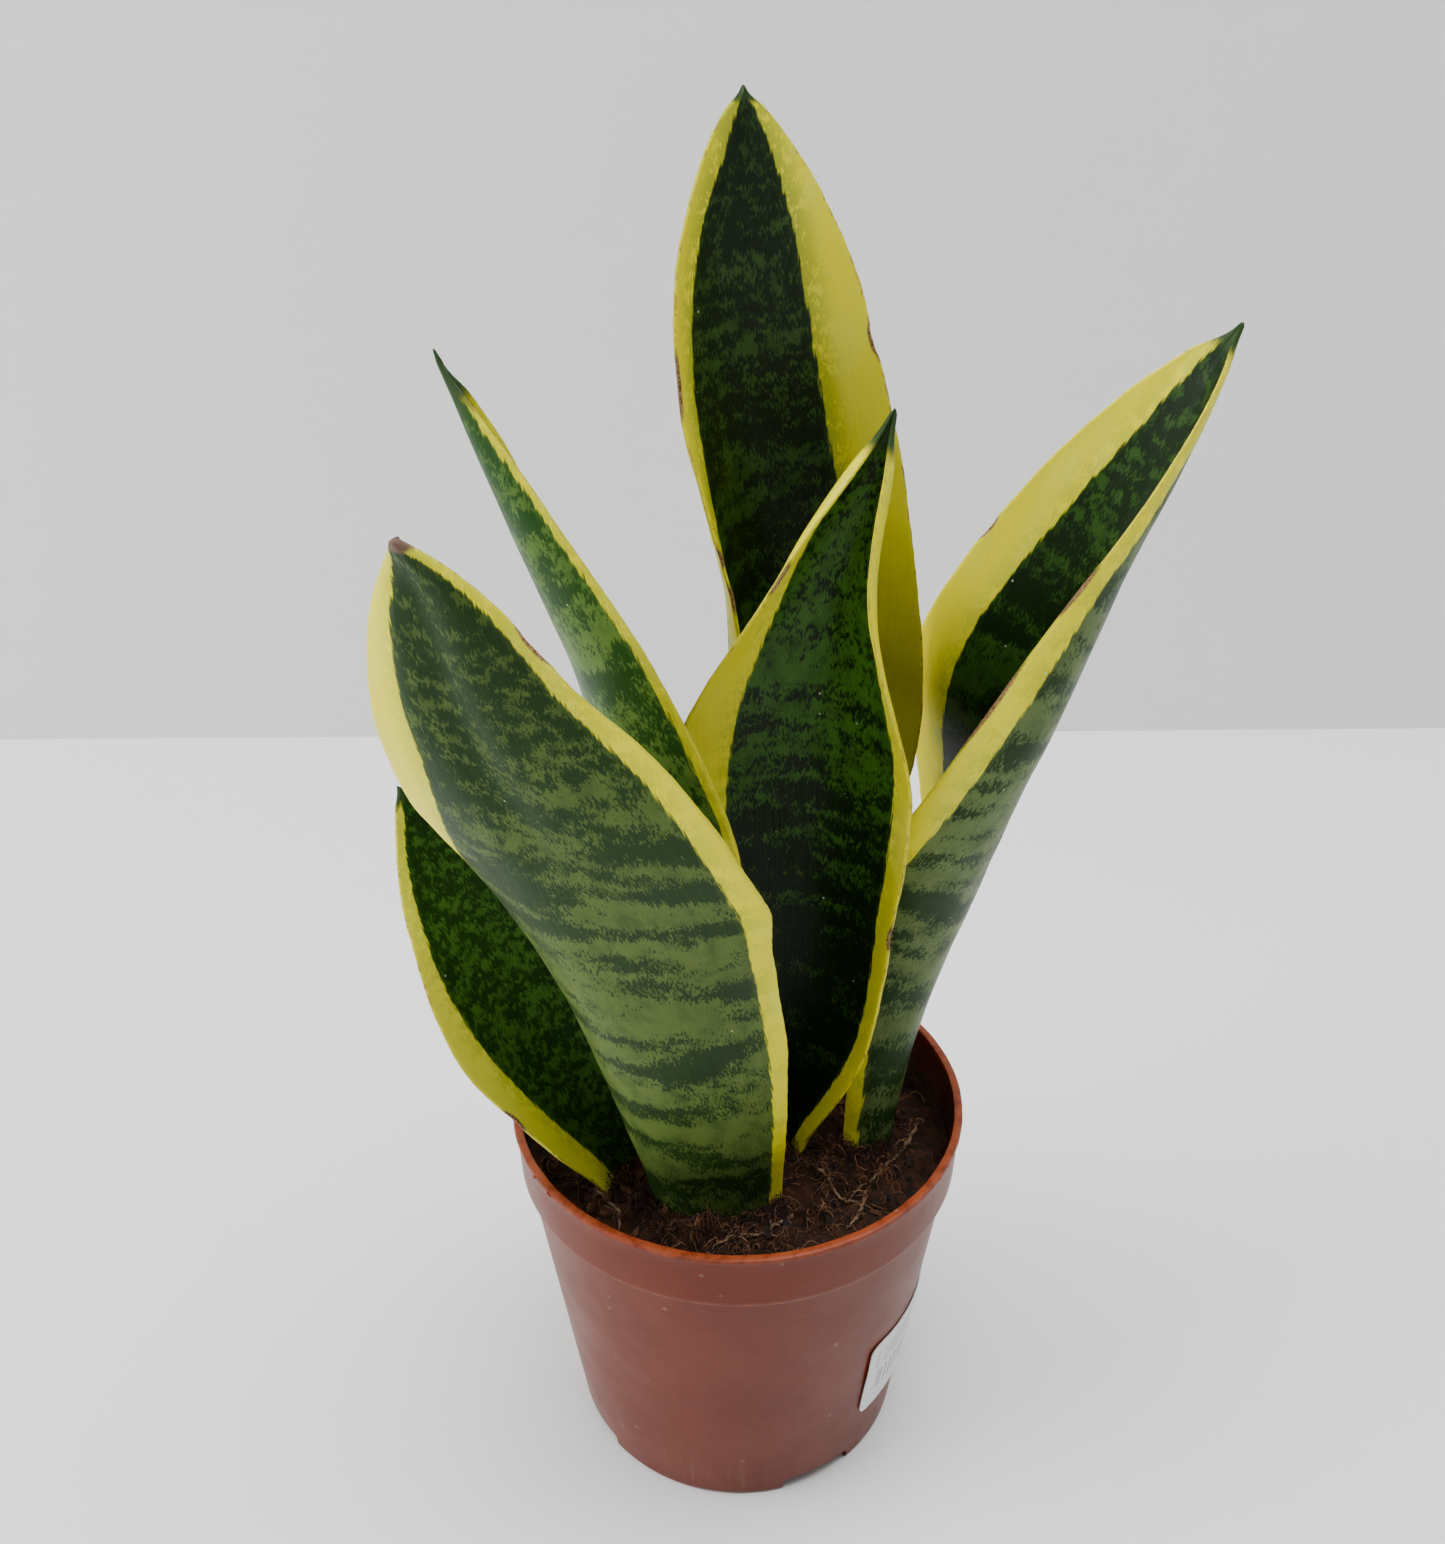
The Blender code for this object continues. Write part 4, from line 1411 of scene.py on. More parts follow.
@dataclass
class NurseryPot:
    """Round tapered nursery pot with a collar, a thin trimmed lip, feet and drain holes.

    Attributes:
        rim_radius: outside radius of the lip, mm.
        height: overall height, mm.
        base_radius: outside radius at the foot, mm.
        wall: wall thickness, mm.
        lip_width: width of the flat lip, mm.
        lip_height: height of the lip, mm.
        overhang: how far the lip stands out over the collar, mm.
        collar_height: height of the collar, mm.
        collar_step: how far the body steps in below the collar, mm.
        collar_draft: how far the collar narrows downward, mm.
        floor_rise: height of the floor's underside, mm.
        floor_thickness: floor thickness, mm.
        foot_width: width of the foot ring, mm.
        foot_notch_arc: opening between two feet, degrees.
        foot_centre: direction of the first foot's middle, degrees from +X.
        pad_radius: radius of the pad under the floor's middle, mm.
        drain_radius: radius of a drain hole, mm.
        drain_circle: radius of the circle of drain holes, mm.
        foot_count: how many feet.
        drain_count: how many drain holes.
        steps: segments round the pot.
        finish: the pot's plastic.
    """

    rim_radius: float = 60.0
    height: float = 105.0
    base_radius: float = 45.6
    wall: float = 1.3
    lip_width: float = 2.2
    lip_height: float = 1.6
    overhang: float = 0.7
    collar_height: float = 16.5
    collar_step: float = 1.5
    collar_draft: float = 0.5
    floor_rise: float = 4.5
    floor_thickness: float = 1.5
    foot_width: float = 2.6
    foot_notch_arc: float = 26.0
    foot_centre: float = -107.0
    pad_radius: float = 9.0
    drain_radius: float = 3.4
    drain_circle: float = 28.272
    foot_count: int = 4
    drain_count: int = 5
    steps: int = 192
    finish: NurseryPlastic = field(default_factory=NurseryPlastic)

    @property
    def collar_bottom(self) -> float:
        """Height of the collar's lower edge, mm."""
        return self.height - self.collar_height

    def wall_radius(self, height: float) -> float:
        """Outside radius of the tapered body at a height, both in mm."""
        top = self.rim_radius - self.overhang - self.collar_draft - self.collar_step
        return self.base_radius + (top - self.base_radius) * height / self.collar_bottom

    def profile(self) -> list[tuple[float, float, float, float]]:
        """Draw the pot's section from the pad under the floor, up the outside and down the inside.

        Returns:
            Rows of radius, height, share of inside and share of edge, sizes in mm.
        """
        low, h = self.collar_bottom, self.height
        collar_top = self.rim_radius - self.overhang
        collar_low = collar_top - self.collar_draft
        top = self.floor_rise + self.floor_thickness
        inner_top = self.rim_radius - self.lip_width
        rows = [
            (0.05, 0.0, 0, 0), (self.pad_radius - 0.5, 0.0, 0, 0), (self.pad_radius, 0.3, 0, 1),
            (self.pad_radius + 1.0, self.floor_rise, 0, 0),
            (self.base_radius - self.foot_width - 0.5, self.floor_rise, 0, 0),
            (self.base_radius - self.foot_width, 0.4, 0, 0),
            (self.base_radius - self.foot_width + 0.4, 0.0, 0, 1),
            (self.base_radius - 1.0, 0.0, 0, 1), (self.wall_radius(0.3) - 0.35, 0.25, 0, 1),
            (self.wall_radius(1.1), 1.1, 0, 0),
        ]
        body = (2.0, 4.0, 8.0, 16.0, 28.0, 42.0, 58.0, 72.0, 82.0, low - 2.4, low - 1.2)
        rows += [(self.wall_radius(z), z, 0, 0) for z in body]
        rows += [
            (self.wall_radius(low) + 0.10, low - 0.75, 0, 0),
            (self.wall_radius(low) + 0.35, low - 0.45, 0, 0),
            (collar_low - 0.45, low - 0.12, 0, 0.6), (collar_low - 0.12, low + 0.08, 0, 1),
            (collar_low, low + 0.42, 0, 1),
            (collar_low + 0.03, low + 1.4, 0, 0),
        ]
        tall = self.collar_height - 2.2
        rows += [(collar_low + self.collar_draft * k / 4.0, low + tall * k / 4.0, 0, 0) for k in (1, 2, 3)]
        rows += [
            (collar_top, h - self.lip_height - 0.7, 0, 0),
            (collar_top + 0.08, h - self.lip_height - 0.3, 0, 0),
            (self.rim_radius - 0.32, h - self.lip_height, 0, 0.4),
            (self.rim_radius - 0.05, h - self.lip_height + 0.16, 0, 1),
            (self.rim_radius, h - self.lip_height + 0.42, 0, 1), (self.rim_radius, h - 0.5, 0, 1),
            (self.rim_radius - 0.16, h - 0.16, 0, 1), (self.rim_radius - 0.5, h, 0, 1),
            (self.rim_radius - 1.1, h + 0.02, 0, 1),
            (inner_top + 0.35, h, 0.2, 1), (inner_top + 0.08, h - 0.12, 0.6, 1), (inner_top, h - 0.4, 1, 1),
            (inner_top - 0.05, h - self.lip_height - 1.0, 1, 0), (collar_low - self.wall, low + 8.0, 1, 0),
            (collar_low - self.wall, low + 0.8, 1, 0), (self.wall_radius(low) - self.wall, low - 1.0, 1, 0),
        ]
        rows += [(self.wall_radius(z) - self.wall, z, 1, 0) for z in (70.0, 40.0, top + 1.5)]
        rows += [(self.wall_radius(top) - self.wall - 1.5, top, 1, 0), (20.0, top, 1, 0), (0.05, top, 1, 0)]
        return rows

    def turn(self) -> bpy.types.Object:
        """Turn the section: a ring is extruded and resized along the profile.

        Returns:
            The turned pot, closed at the axis.
        """
        rows = self.profile()
        obj = Workshop.grid("nursery_pot", self.steps, len(rows) - 1)
        column, row = Workshop.cells(obj, self.steps, len(rows) - 1)
        table = np.array(rows)[row]
        angle = column % self.steps * 2.0 * math.pi / self.steps
        radius, z = table[:, 0].copy(), table[:, 1].copy()
        lip = smooth(self.height - 1.8, self.height - 0.8, z)
        radius += lip * (0.12 * ripple(angle * 5.0, 2.0) + 0.07 * ripple(angle * 31.0, 5.0))
        z += lip * 0.10 * ripple(angle * 9.0, 7.0)
        oval = 0.18 * np.cos(2.0 * angle + 0.6) * smooth(10.0, self.height, z)
        radius += oval * (radius > 30.0)
        places = np.stack([radius * np.cos(angle), radius * np.sin(angle), z], axis=1)
        Workshop.place_points(obj, places * MM)
        Workshop.mark(obj, "inner", table[:, 2])
        Workshop.mark(obj, "edge", table[:, 3])
        Workshop.seal(obj, bpy.ops.mesh.edge_collapse)
        return obj

    def cut(self, pot: bpy.types.Object, tool: bpy.types.Object) -> None:
        """Cut a tool out of the pot and remove the tool."""
        mod = pot.modifiers.new("cut", "BOOLEAN")
        mod.operation = "DIFFERENCE"
        mod.solver = "EXACT"
        mod.object = tool
        Workshop.apply(pot, mod)
        bpy.data.objects.remove(tool, do_unlink=True)

    def foot_notch(self, index: int) -> bpy.types.Object:
        """Add one tool that opens the foot ring between two feet."""
        wide = 2.0 * self.base_radius * math.sin(math.radians(self.foot_notch_arc / 2.0)) * MM
        turn = math.radians(self.foot_centre + (index + 0.5) * 360.0 / self.foot_count)
        Workshop.deselect()
        bpy.ops.mesh.primitive_cube_add(size=1.0)
        tool = bpy.context.object
        tool.scale = (16.0 * MM, wide, 2.0 * self.floor_rise * MM)
        tool.rotation_euler = (0.0, 0.0, turn)
        tool.location = (self.base_radius * MM * math.cos(turn), self.base_radius * MM * math.sin(turn), 0.0)
        Workshop.settle(tool)
        mod = tool.modifiers.new("soft", "BEVEL")
        mod.width = 1.5 * MM
        mod.segments = 3
        Workshop.apply(tool, mod)
        return tool

    def drain(self, index: int) -> bpy.types.Object:
        """Add one tool that opens a drain hole."""
        turn = math.radians(90.0 + index * 360.0 / self.drain_count)
        Workshop.deselect()
        bpy.ops.mesh.primitive_cylinder_add(
            vertices=40,
            radius=self.drain_radius * MM,
            depth=4.0 * (self.floor_rise + self.floor_thickness) * MM,
            location=(self.drain_circle * MM * math.cos(turn), self.drain_circle * MM * math.sin(turn), 0.0),
        )
        tool = bpy.context.object
        Workshop.settle(tool)
        return tool

    def build(self) -> bpy.types.Object:
        """Build the pot with its feet, drain holes and trimming burrs.

        Returns:
            The finished pot.
        """
        pot = self.turn()
        for index in range(self.foot_count):
            self.cut(pot, self.foot_notch(index))
        for index in range(self.drain_count):
            self.cut(pot, self.drain(index))
        finish = self.finish.build(self.height * MM)
        Workshop.dress(pot, finish, 32.0)
        Workshop.hand_over(pot, "pot", "pot")
        self.burrs(finish)
        return pot

    def burrs(self, finish: bpy.types.Material) -> None:
        """Add the small torn tags that trimming left on the lip.

        Args:
            finish: the pot's plastic.
        """
        random = np.random.default_rng(11)
        for index, (bearing, size) in enumerate(
            ((-142.0, 2.2), (-149.0, 1.3), (-33.0, 2.0), (-28.0, 1.2), (61.0, 1.6))
        ):
            turn = math.radians(bearing)
            Workshop.deselect()
            bpy.ops.mesh.primitive_ico_sphere_add(subdivisions=2, radius=1.0)
            obj = bpy.context.object
            obj.name = f"lip_burr_{index + 1}"
            co = Workshop.points(obj)
            co *= 1.0 + 0.35 * random.standard_normal((len(co), 1)) * 0.6
            co *= np.array([0.42, size * 0.5, 0.35]) * MM
            co = co @ turned(turn).T
            co += np.array([math.cos(turn), math.sin(turn), 0.0]) * (self.rim_radius - 0.02) * MM
            co[:, 2] += (self.height - 0.75) * MM
            Workshop.place_points(obj, co)
            Workshop.mark(obj, "inner", np.zeros(len(co)))
            Workshop.mark(obj, "edge", np.ones(len(co)))
            obj.data.materials.append(finish)
            Workshop.shade(obj, 50.0)
            Workshop.hand_over(obj, "pot")


# ---------------------------------------------------------------- potting mix


@dataclass
class PottingMix:
    """Potting mix with a lumpy surface, loose crumbs and coir fibres.

    Attributes:
        pot: the pot it fills.
        drop: surface below the rim, mm.
        dip: how far the surface sinks at the back right, mm.
        lump: height of the lumps, mm.
        clearance: gap to the pot's wall, mm.
        crumbs: how many loose crumbs.
        fibres: how many fibres.
        feet: plan places of the leaves' feet, mm.
        tufts: plan places of the felted tufts, mm.
        tuft_fibres: fibres in each tuft.
        tuft_spread: reach of a tuft, mm.
        finish: its colours.
    """

    pot: NurseryPot
    drop: float = 13.0
    dip: float = 6.0
    lump: float = 0.9
    clearance: float = 0.3
    crumbs: int = 900
    fibres: int = 1300
    feet: tuple = ()
    tufts: tuple = (
        (-28, -27), (-21, -31), (-33, -22), (9, -31), (2, -33), (15, -7), (29, -10),
        (38, -10), (-8, -39), (-18, -39), (1, -43), (20, -34), (28, -24), (37, -19),
        (21, -17), (-41, -17), (44, 4), (12, -45), (-24, 22), (34, 22),
    )
    tuft_fibres: int = 75
    tuft_spread: float = 2.9
    finish: CoirMix = field(default_factory=CoirMix)

    @property
    def top(self) -> float:
        """Nominal height of the surface, mm."""
        return self.pot.height - self.drop

    def surface(self, x: np.ndarray, y: np.ndarray) -> np.ndarray:
        """Find the height of the mix's broad shape.

        Args:
            x: places along X, mm.
            y: places along Y, mm.

        Returns:
            Heights above the table, mm.
        """
        reach = np.clip((0.8 * x + 0.6 * y - 18.0) / 36.0, 0.0, 1.0)
        lumps = (
            np.sin(0.31 * x + 1.3) * np.cos(0.27 * y - 0.4)
            + 0.6 * np.sin(0.53 * x - 0.47 * y + 2.1)
            + 0.4 * np.cos(0.71 * y + 0.19 * x)
        )
        return self.top - self.dip * reach * reach + self.lump * lumps

    def rough(self, x: np.ndarray, y: np.ndarray) -> np.ndarray:
        """Find the height with the small clods and the banks round the leaves added, all in mm."""
        banks = sum(1.3 * np.exp(-((x - a) ** 2 + (y - b) ** 2) / 70.0) for a, b in self.feet)
        clods = ripple(0.9 * x + 0.5 * y, 1.0) * ripple(0.8 * y - 0.6 * x, 2.0)
        grit = ripple(2.1 * x - 1.4 * y, 3.0) * ripple(1.9 * y + 1.6 * x, 4.0)
        return self.surface(x, y) + 0.9 * clods + 0.5 * grit + banks

    def body(self) -> bpy.types.Object:
        """Build the mix itself, from its rough top down the wall to the pot's floor.

        Returns:
            The body of the mix.
        """
        pot = self.pot
        edge = pot.rim_radius - pot.overhang - pot.collar_draft - pot.wall - self.clearance - 0.2
        floor = pot.floor_rise + pot.floor_thickness + self.clearance
        inset = pot.wall + self.clearance + 0.2
        rings, steps = 64, 192
        rows = [(0.02 + edge * (k / rings) ** 0.9, None) for k in range(rings + 1)]
        rows += [
            (edge, pot.collar_bottom + 1.4),
            (pot.wall_radius(pot.collar_bottom - 1.0) - inset, pot.collar_bottom - 1.0),
        ]
        rows += [(pot.wall_radius(z) - inset, z) for z in (70.0, 40.0, floor + 2.0)]
        rows += [(pot.wall_radius(floor) - inset - 1.8, floor), (0.02, floor)]
        obj = Workshop.grid("mix_body", steps, len(rows) - 1)
        column, row = Workshop.cells(obj, steps, len(rows) - 1)
        angle = column % steps * 2.0 * math.pi / steps
        radius = np.array([r for r, _ in rows])[row]
        x, y = radius * np.cos(angle), radius * np.sin(angle)
        z = np.array([0.0 if h is None else h for _, h in rows])[row]
        open_top = row <= rings
        fall = smooth(edge, edge - 4.0, radius)
        rise = self.surface(x, y) + (self.rough(x, y) - self.surface(x, y)) * fall
        z = np.where(open_top, np.maximum(rise, pot.collar_bottom + 1.6 - 20.0 * fall), z)
        z = np.where(open_top & (radius > edge - 0.01), np.maximum(z, pot.collar_bottom + 1.6), z)
        Workshop.place_points(obj, np.stack([x, y, z], axis=1) * MM)
        Workshop.seal(obj, bpy.ops.mesh.edge_collapse, 1e-6)
        Workshop.dress(obj, self.finish.ground(), 60.0)
        Workshop.hand_over(obj, "potting_mix", "potting_mix")
        return obj

    def scatter(self, random: np.random.Generator, count: int, margin: float) -> np.ndarray:
        """Pick places on the surface.

        Args:
            random: seeded generator.
            count: how many.
            margin: how far from the wall they stay, mm.

        Returns:
            Rows of x and y in mm.
        """
        reach = (self.pot.rim_radius - 4.0 - margin) * np.sqrt(random.random(count))
        turn = random.random(count) * 2.0 * math.pi
        return np.stack([reach * np.cos(turn), reach * np.sin(turn)], axis=1)

    def loose_crumbs(self) -> bpy.types.Object:
        """Scatter irregular crumbs, each a dented small solid.

        Returns:
            The crumbs as one piece.
        """
        random = np.random.default_rng(5)
        Workshop.deselect()
        bpy.ops.mesh.primitive_ico_sphere_add(subdivisions=1, radius=1.0)
        seed = bpy.context.object
        shape = Workshop.points(seed)
        faces = [tuple(p.vertices) for p in seed.data.polygons]
        bpy.data.objects.remove(seed, do_unlink=True)
        places = self.scatter(random, self.crumbs, 3.0)
        points, polygons, tones = [], [], []
        for x, y in places:
            size = 0.35 + 1.1 * random.random() ** 3
            stretch = np.array(
                [1.0 + random.random(), 0.6 + 0.6 * random.random(), 0.45 + 0.5 * random.random()]
            )
            dent = shape * (1.0 + 0.22 * random.standard_normal((len(shape), 1)))
            turn = random.random() * 2.0 * math.pi
            crumb = (dent * stretch * size) @ turned(turn).T
            crumb += (x, y, float(self.rough(np.array(x), np.array(y))) + size * 0.25)
            polygons += [tuple(i + len(points) for i in face) for face in faces]
            points.extend(crumb)
            tones.extend([random.random() ** 1.6] * len(shape))
        return self.loose(
            "mix_crumbs", points, polygons, tones, self.finish.bits("coir_crumbs", self.finish.tan)
        )

    def loose(
        self, name: str, points: list, polygons: list, tones: list, finish: bpy.types.Material
    ) -> bpy.types.Object:
        """Make one piece out of many loose bits.

        Args:
            name: the piece's name.
            points: points in mm.
            polygons: faces.
            tones: one tone for each point.
            finish: material.

        Returns:
            The piece.
        """
        places = [tuple(float(c) * MM for c in p) for p in points]
        obj = Workshop.from_lists(name, name, places, polygons, finish)
        Workshop.mark(obj, "tone", np.array(tones))
        Workshop.shade(obj, 50.0)
        Workshop.hand_over(obj, "potting_mix")
        return obj

    def strands(self) -> bpy.types.Object:
        """Scatter curled fibres, each a thin three-sided tube that dips into the mix.

        Returns:
            The fibres as one piece.
        """
        random = np.random.default_rng(8)
        places = [(x, y, 0.0) for x, y in self.scatter(random, self.fibres, 4.0)]
        for centre in self.tufts:
            for dx, dy in random.normal(0.0, self.tuft_spread, (self.tuft_fibres, 2)):
                crown = math.exp(-(dx * dx + dy * dy) / (2.0 * self.tuft_spread**2))
                places.append((centre[0] + dx, centre[1] + dy, 3.2 * crown * random.random()))
        points, polygons, tones = [], [], []
        for x, y, lift in places:
            length = 3.0 + (9.0 if lift == 0.0 else 4.0) * random.random() ** 1.5
            radius = 0.05 + 0.10 * random.random() ** 2
            count = 7
            heading = random.random() * 2.0 * math.pi
            curl = random.standard_normal() * 0.45
            line = [np.array([x, y])]
            for _ in range(count - 1):
                heading += curl + random.standard_normal() * 0.3
                line.append(
                    line[-1] + np.array([math.cos(heading), math.sin(heading)]) * length / (count - 1)
                )
            line = np.array(line)
            keep = np.hypot(line[:, 0], line[:, 1]) < self.pot.rim_radius - 5.0
            line = line[keep]
            if len(line) < 4:
                continue
            arch = np.sin(np.linspace(0.0, math.pi, len(line))) * (
                0.3 + 2.4 * random.random() ** 2 + lift
            ) - 0.25
            spine = np.column_stack([line, self.rough(line[:, 0], line[:, 1]) + arch + 0.3])
            self.tube(spine, radius, 3, points, polygons)
            tones.extend([random.random() ** 1.3] * (3 * len(line)))
        light = (0.22, 0.10, 0.045)
        return self.loose("mix_fibres", points, polygons, tones, self.finish.bits("coir_fibres", light))

    @staticmethod
    def tube(spine: np.ndarray, radius: object, sides: int, points: list, polygons: list) -> None:
        """Wrap a thin closed tube round a line and add it to a list.

        Args:
            spine: points of the line, mm.
            radius: one radius or one for each point, mm.
            sides: sides of the tube.
            points: list that takes the points.
            polygons: list that takes the faces.
        """
        ahead = np.gradient(spine, axis=0)
        ahead /= np.linalg.norm(ahead, axis=1)[:, None]
        flat = np.cross(ahead, (0.0, 0.0, 1.0))
        flat /= np.maximum(np.linalg.norm(flat, axis=1), 1e-6)[:, None]
        rise = np.cross(flat, ahead)
        first = len(points)
        sizes = np.broadcast_to(np.asarray(radius, float), (len(spine),))
        for k, place in enumerate(spine):
            taper = 0.35 if k in (0, len(spine) - 1) else 1.0
            for j in range(sides):
                turn = 2.0 * math.pi * j / sides
                points.append(
                    place + (flat[k] * math.cos(turn) + rise[k] * math.sin(turn)) * sizes[k] * taper
                )
        for k in range(len(spine) - 1):
            for j in range(sides):
                a, b = first + k * sides + j, first + k * sides + (j + 1) % sides
                polygons.append((a, a + sides, b + sides, b))
        polygons.append(tuple(first + j for j in range(sides)))
        last = first + (len(spine) - 1) * sides
        polygons.append(tuple(last + j for j in reversed(range(sides))))

    def build(self) -> None:
        """Build the mix and everything loose on it."""
        self.body()
        self.loose_crumbs()
        self.strands()


@dataclass
class SurfaceRoots:
    """Loose pale roots lying on the mix.

    Attributes:
        mix: the mix they lie on.
        radius: radius of a root, mm.
        routes: plan points of each root, mm.
        finish: root skin.
    """

    mix: PottingMix
    radius: float = 0.55
    routes: dict = field(
        default_factory=lambda: {
            "root_strand_1": ((50, 3), (44, -9), (38, -17), (33, -24), (31, -33), (27, -38)),
            "root_strand_2": ((18, -15), (23, -19), (25, -26), (31, -29)),
            "root_strand_3": ((-37, -24), (-31, -31), (-30, -38)),
            "root_strand_4": ((14, -33), (8, -38), (1, -40), (-7, -44)),
        }
    )
    finish: RootBark = field(default_factory=RootBark)

    def build(self) -> None:
        """Build each root as a knobbly tube with side rootlets."""
        skin = self.finish.build()
        random = np.random.default_rng(21)
        for name, route in self.routes.items():
            t = np.linspace(0.0, 1.0, 12 * (len(route) - 1) + 1)
            plan = through(route, t)
            points, polygons = [], []
            height = self.mix.rough(plan[:, 0], plan[:, 1]) + 0.45 + 0.5 * np.abs(
                ripple(t * 14.0, len(route), 2)
            )
            spine = np.column_stack([plan + 0.25 * random.standard_normal(plan.shape), height])
            girth = self.radius * (0.95 - 0.45 * t) * (1.0 + 0.18 * ripple(t * 40.0, 3.0, 2))
            PottingMix.tube(spine, girth, 8, points, polygons)
            for k in range(4, len(spine) - 4, 7):
                away = random.standard_normal(2)
                away /= np.linalg.norm(away)
                run = np.linspace(0.0, 1.0, 7)[:, None]
                reach = 2.5 + 4.0 * random.random()
                side = spine[k] + np.column_stack(
                    [away[0] * run * reach, away[1] * run * reach, 0.7 * np.sin(run * 3.0)]
                )
                side[:, 2] = np.maximum(side[:, 2], self.mix.rough(side[:, 0], side[:, 1]) + 0.15)
                PottingMix.tube(side, 0.13, 4, points, polygons)
            places = [tuple(float(c) * MM for c in p) for p in points]
            obj = Workshop.from_lists(f"{name}_bark", name, places, polygons, skin)
            Workshop.shade(obj, 60.0)
            Workshop.hand_over(obj, name, name)


@dataclass
class StickerLabel:
    """Blank sticker wrapped on the pot's wall, with rounded corners and a lifting edge.

    Attributes:
        pot: the pot it sticks to.
        width: width round the wall, mm.
        height: height, mm.
        corner: corner radius, mm.
        thickness: film thickness, mm.
        bearing: direction of its middle, degrees from +X.
        middle: height of its middle over the pot's height.
        finish: film and print.
    """

    pot: NurseryPot
    width: float = 44.0
    height: float = 29.0
    corner: float = 3.0
    thickness: float = 0.3
    bearing: float = -23.0
    middle: float = 0.335
    clearance: float = 0.3
    finish: StickerFilm = field(default_factory=StickerFilm)

    def build(self) -> bpy.types.Object:
        """Wrap a grid with rounded corners round the wall and thicken it.

        Returns:
            The label.
        """
        columns, rows = 64, 40
        obj = Workshop.grid("sticker", columns, rows)
        co = Workshop.points(obj)
        half_w, half_h, r = self.width / 2.0, self.height / 2.0, self.corner
        v = co[:, 1] * half_h
        short = np.where(
            np.abs(v) > half_h - r, r - np.sqrt(np.maximum(r * r - (np.abs(v) - half_h + r) ** 2, 0.0)), 0.0
        )
        across = co[:, 0] * (half_w - short)
        z = self.middle * self.pot.height + v
        lift = 0.35 * smooth(-half_w + 5.0, -half_w, across) * (0.6 + 0.4 * np.sin(v * 0.25))
        lift += 0.05 * ripple(across * 0.4 + v * 0.2, 3.0, 3)
        radius = np.array([self.pot.wall_radius(h) for h in z]) + self.clearance + self.thickness / 2.0 + lift
        turn = math.radians(self.bearing) + across / self.pot.wall_radius(self.middle * self.pot.height)
        Workshop.place_points(obj, np.stack([radius * np.cos(turn), radius * np.sin(turn), z], axis=1) * MM)
        Workshop.mark(obj, "panel", np.stack([across, v, np.zeros_like(v)], axis=1) * MM)
        mod = obj.modifiers.new("film", "SOLIDIFY")
        mod.thickness = self.thickness * MM
        mod.offset = 0.0
        Workshop.apply(obj, mod)
        Workshop.weld(obj, 1e-6)
        Workshop.dress(obj, self.finish.build(), 40.0)
        Workshop.hand_over(obj, "label", "label")
        return obj


# ---------------------------------------------------------------- studio


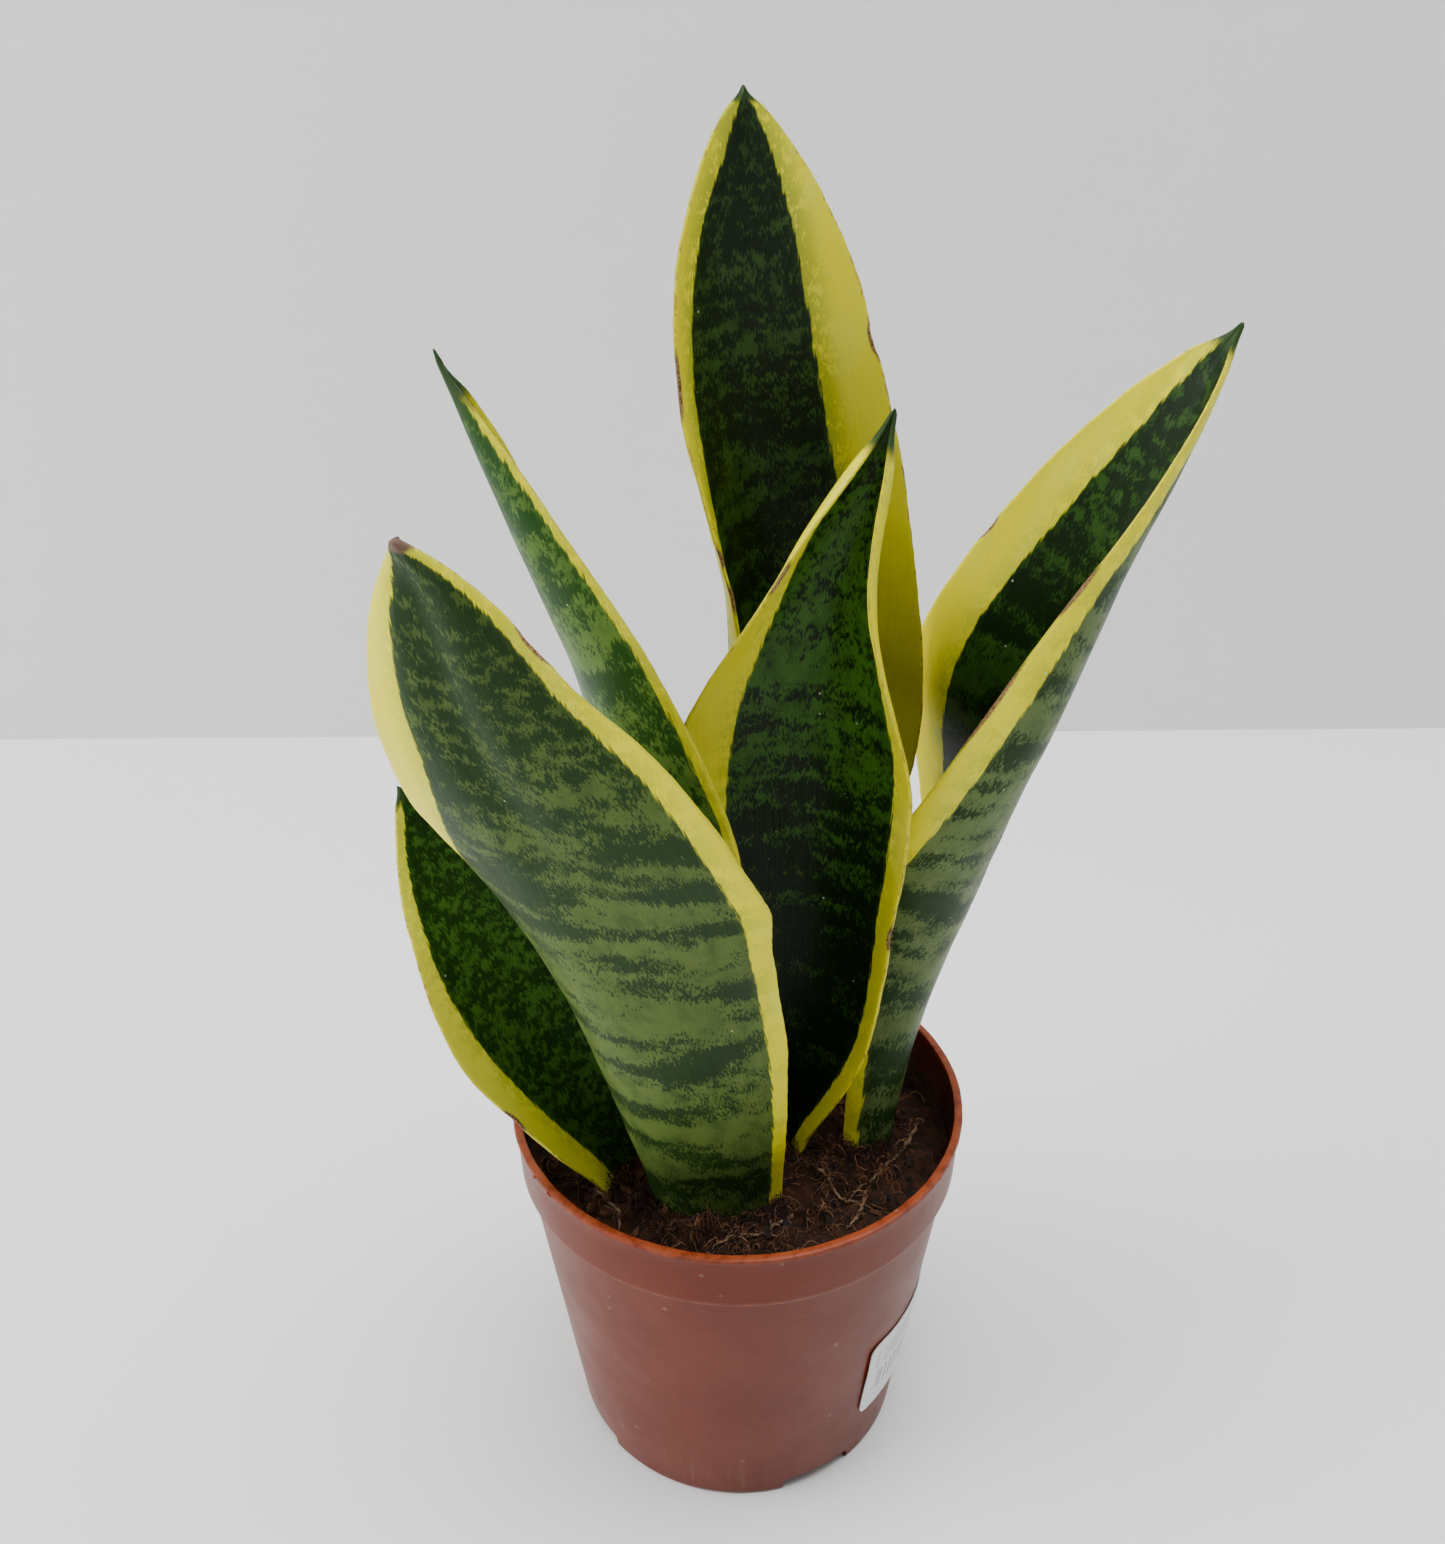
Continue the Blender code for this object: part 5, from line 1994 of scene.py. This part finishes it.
@dataclass
class Studio:
    """Pale table and wall, soft light and the camera.

    Attributes:
        target: point the camera looks at, mm.
        distance: camera distance, mm.
        pitch: how far the camera looks down, degrees.
        roll: camera roll, degrees.
        wall: distance of the wall behind the object, mm.
    """

    target: Colour = (-3.3, 0.0, 203.2)
    distance: float = 357.0
    pitch: float = 28.95
    roll: float = -0.45
    wall: float = 410.0

    def camera(self) -> None:
        """Place the camera."""
        data = bpy.data.cameras.new("camera")
        data.lens = 35.0
        data.sensor_width = 36.0
        data.clip_start, data.clip_end = 0.01, 20.0
        cam = bpy.data.objects.new("camera", data)
        bpy.context.scene.collection.objects.link(cam)
        tilt = math.radians(self.pitch)
        back = Vector((0.0, -math.cos(tilt), math.sin(tilt)))
        cam.location = (Vector(self.target) + back * self.distance) * MM
        cam.rotation_mode = "QUATERNION"
        cam.rotation_quaternion = (-back).to_track_quat("-Z", "Y")
        cam.rotation_quaternion @= Quaternion((0.0, 0.0, 1.0), math.radians(self.roll))
        bpy.context.scene.camera = cam

    def sheet(self, name: str, colour: Colour, rough: float) -> bpy.types.Material:
        """Make a plain matt finish for the table or the wall."""
        made, sheet, shader = Finish.start(name)
        cloud = sheet.noise(sheet.object_place(), 2.5, 3.0, 0.5)
        dim = tuple(c * 0.96 for c in colour)
        sheet.put(shader.inputs["Base Color"], sheet.blend(cloud, colour, dim))
        shader.inputs["Roughness"].default_value = rough
        return made

    def backdrop(self) -> None:
        """Lay the table and stand the wall."""
        for name, corners, finish in (
            (
                "table",
                (
                    (-3.0, -2.5, 0.0),
                    (3.0, -2.5, 0.0),
                    (3.0, self.wall * MM, 0.0),
                    (-3.0, self.wall * MM, 0.0),
                ),
                self.sheet("pale_table", (0.83, 0.85, 0.845), 0.6),
            ),
            (
                "wall",
                (
                    (-3.0, self.wall * MM, -0.2),
                    (3.0, self.wall * MM, -0.2),
                    (3.0, self.wall * MM, 2.6),
                    (-3.0, self.wall * MM, 2.6),
                ),
                self.sheet("pale_wall", (0.82, 0.835, 0.815), 0.8),
            ),
        ):
            Workshop.from_lists(name, name, corners, [(0, 1, 2, 3)], finish)

    def lamp(self, name: str, place: Colour, aim: Colour, size: float, power: float) -> None:
        """Hang one square soft light.

        Args:
            name: its name.
            place: where it hangs, metres.
            aim: where it points, metres.
            size: side of the square, metres.
            power: watts.
        """
        data = bpy.data.lights.new(name, "AREA")
        data.size = size
        data.energy = power
        obj = bpy.data.objects.new(name, data)
        bpy.context.scene.collection.objects.link(obj)
        obj.location = place
        obj.rotation_mode = "QUATERNION"
        obj.rotation_quaternion = (Vector(aim) - Vector(place)).to_track_quat("-Z", "Y")

    def lights(self) -> None:
        """Set the sky and the soft lights."""
        world = bpy.data.worlds.new("soft_room")
        world.use_nodes = True
        sheet = NodeSheet(world.node_tree)
        split = sheet.node("ShaderNodeSeparateXYZ")
        sheet.put(split.inputs[0], sheet.node("ShaderNodeTexCoord").outputs["Generated"])
        glow = sheet.math("MULTIPLY_ADD", sheet.ease(split.outputs["Y"], -0.3, 0.75), 0.95, 0.2)
        glow = sheet.plus(glow, sheet.times(sheet.ease(split.outputs["Z"], 0.3, 1.0), 0.45))
        background = world.node_tree.nodes["Background"]
        background.inputs[0].default_value = (1.0, 1.0, 0.985, 1.0)
        sheet.put(background.inputs[1], glow)
        bpy.context.scene.world = world
        self.lamp("window", (-1.7, -0.35, 1.2), (0.0, 0.0, 0.15), 1.3, 42.0)
        self.lamp("ceiling", (0.35, 0.2, 2.0), (0.0, 0.05, 0.1), 1.8, 66.0)

    def build(self) -> None:
        """Build the whole studio."""
        self.camera()
        self.backdrop()
        self.lights()


def main() -> None:
    """Build every piece in order and report it."""
    logging.basicConfig(level=logging.INFO, format="%(name)s: %(message)s")
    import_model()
    Studio().build()
    pot = NurseryPot()
    pot.build()
    leaves = leaf_set()
    mix = PottingMix(pot, feet=tuple((leaf.path[0][0], leaf.path[0][1]) for leaf in leaves))
    mix.build()
    SurfaceRoots(mix).build()
    StickerLabel(pot).build()
    for leaf in leaves:
        leaf.build()
    Workshop.deselect()


if __name__ == "__main__":
    main()
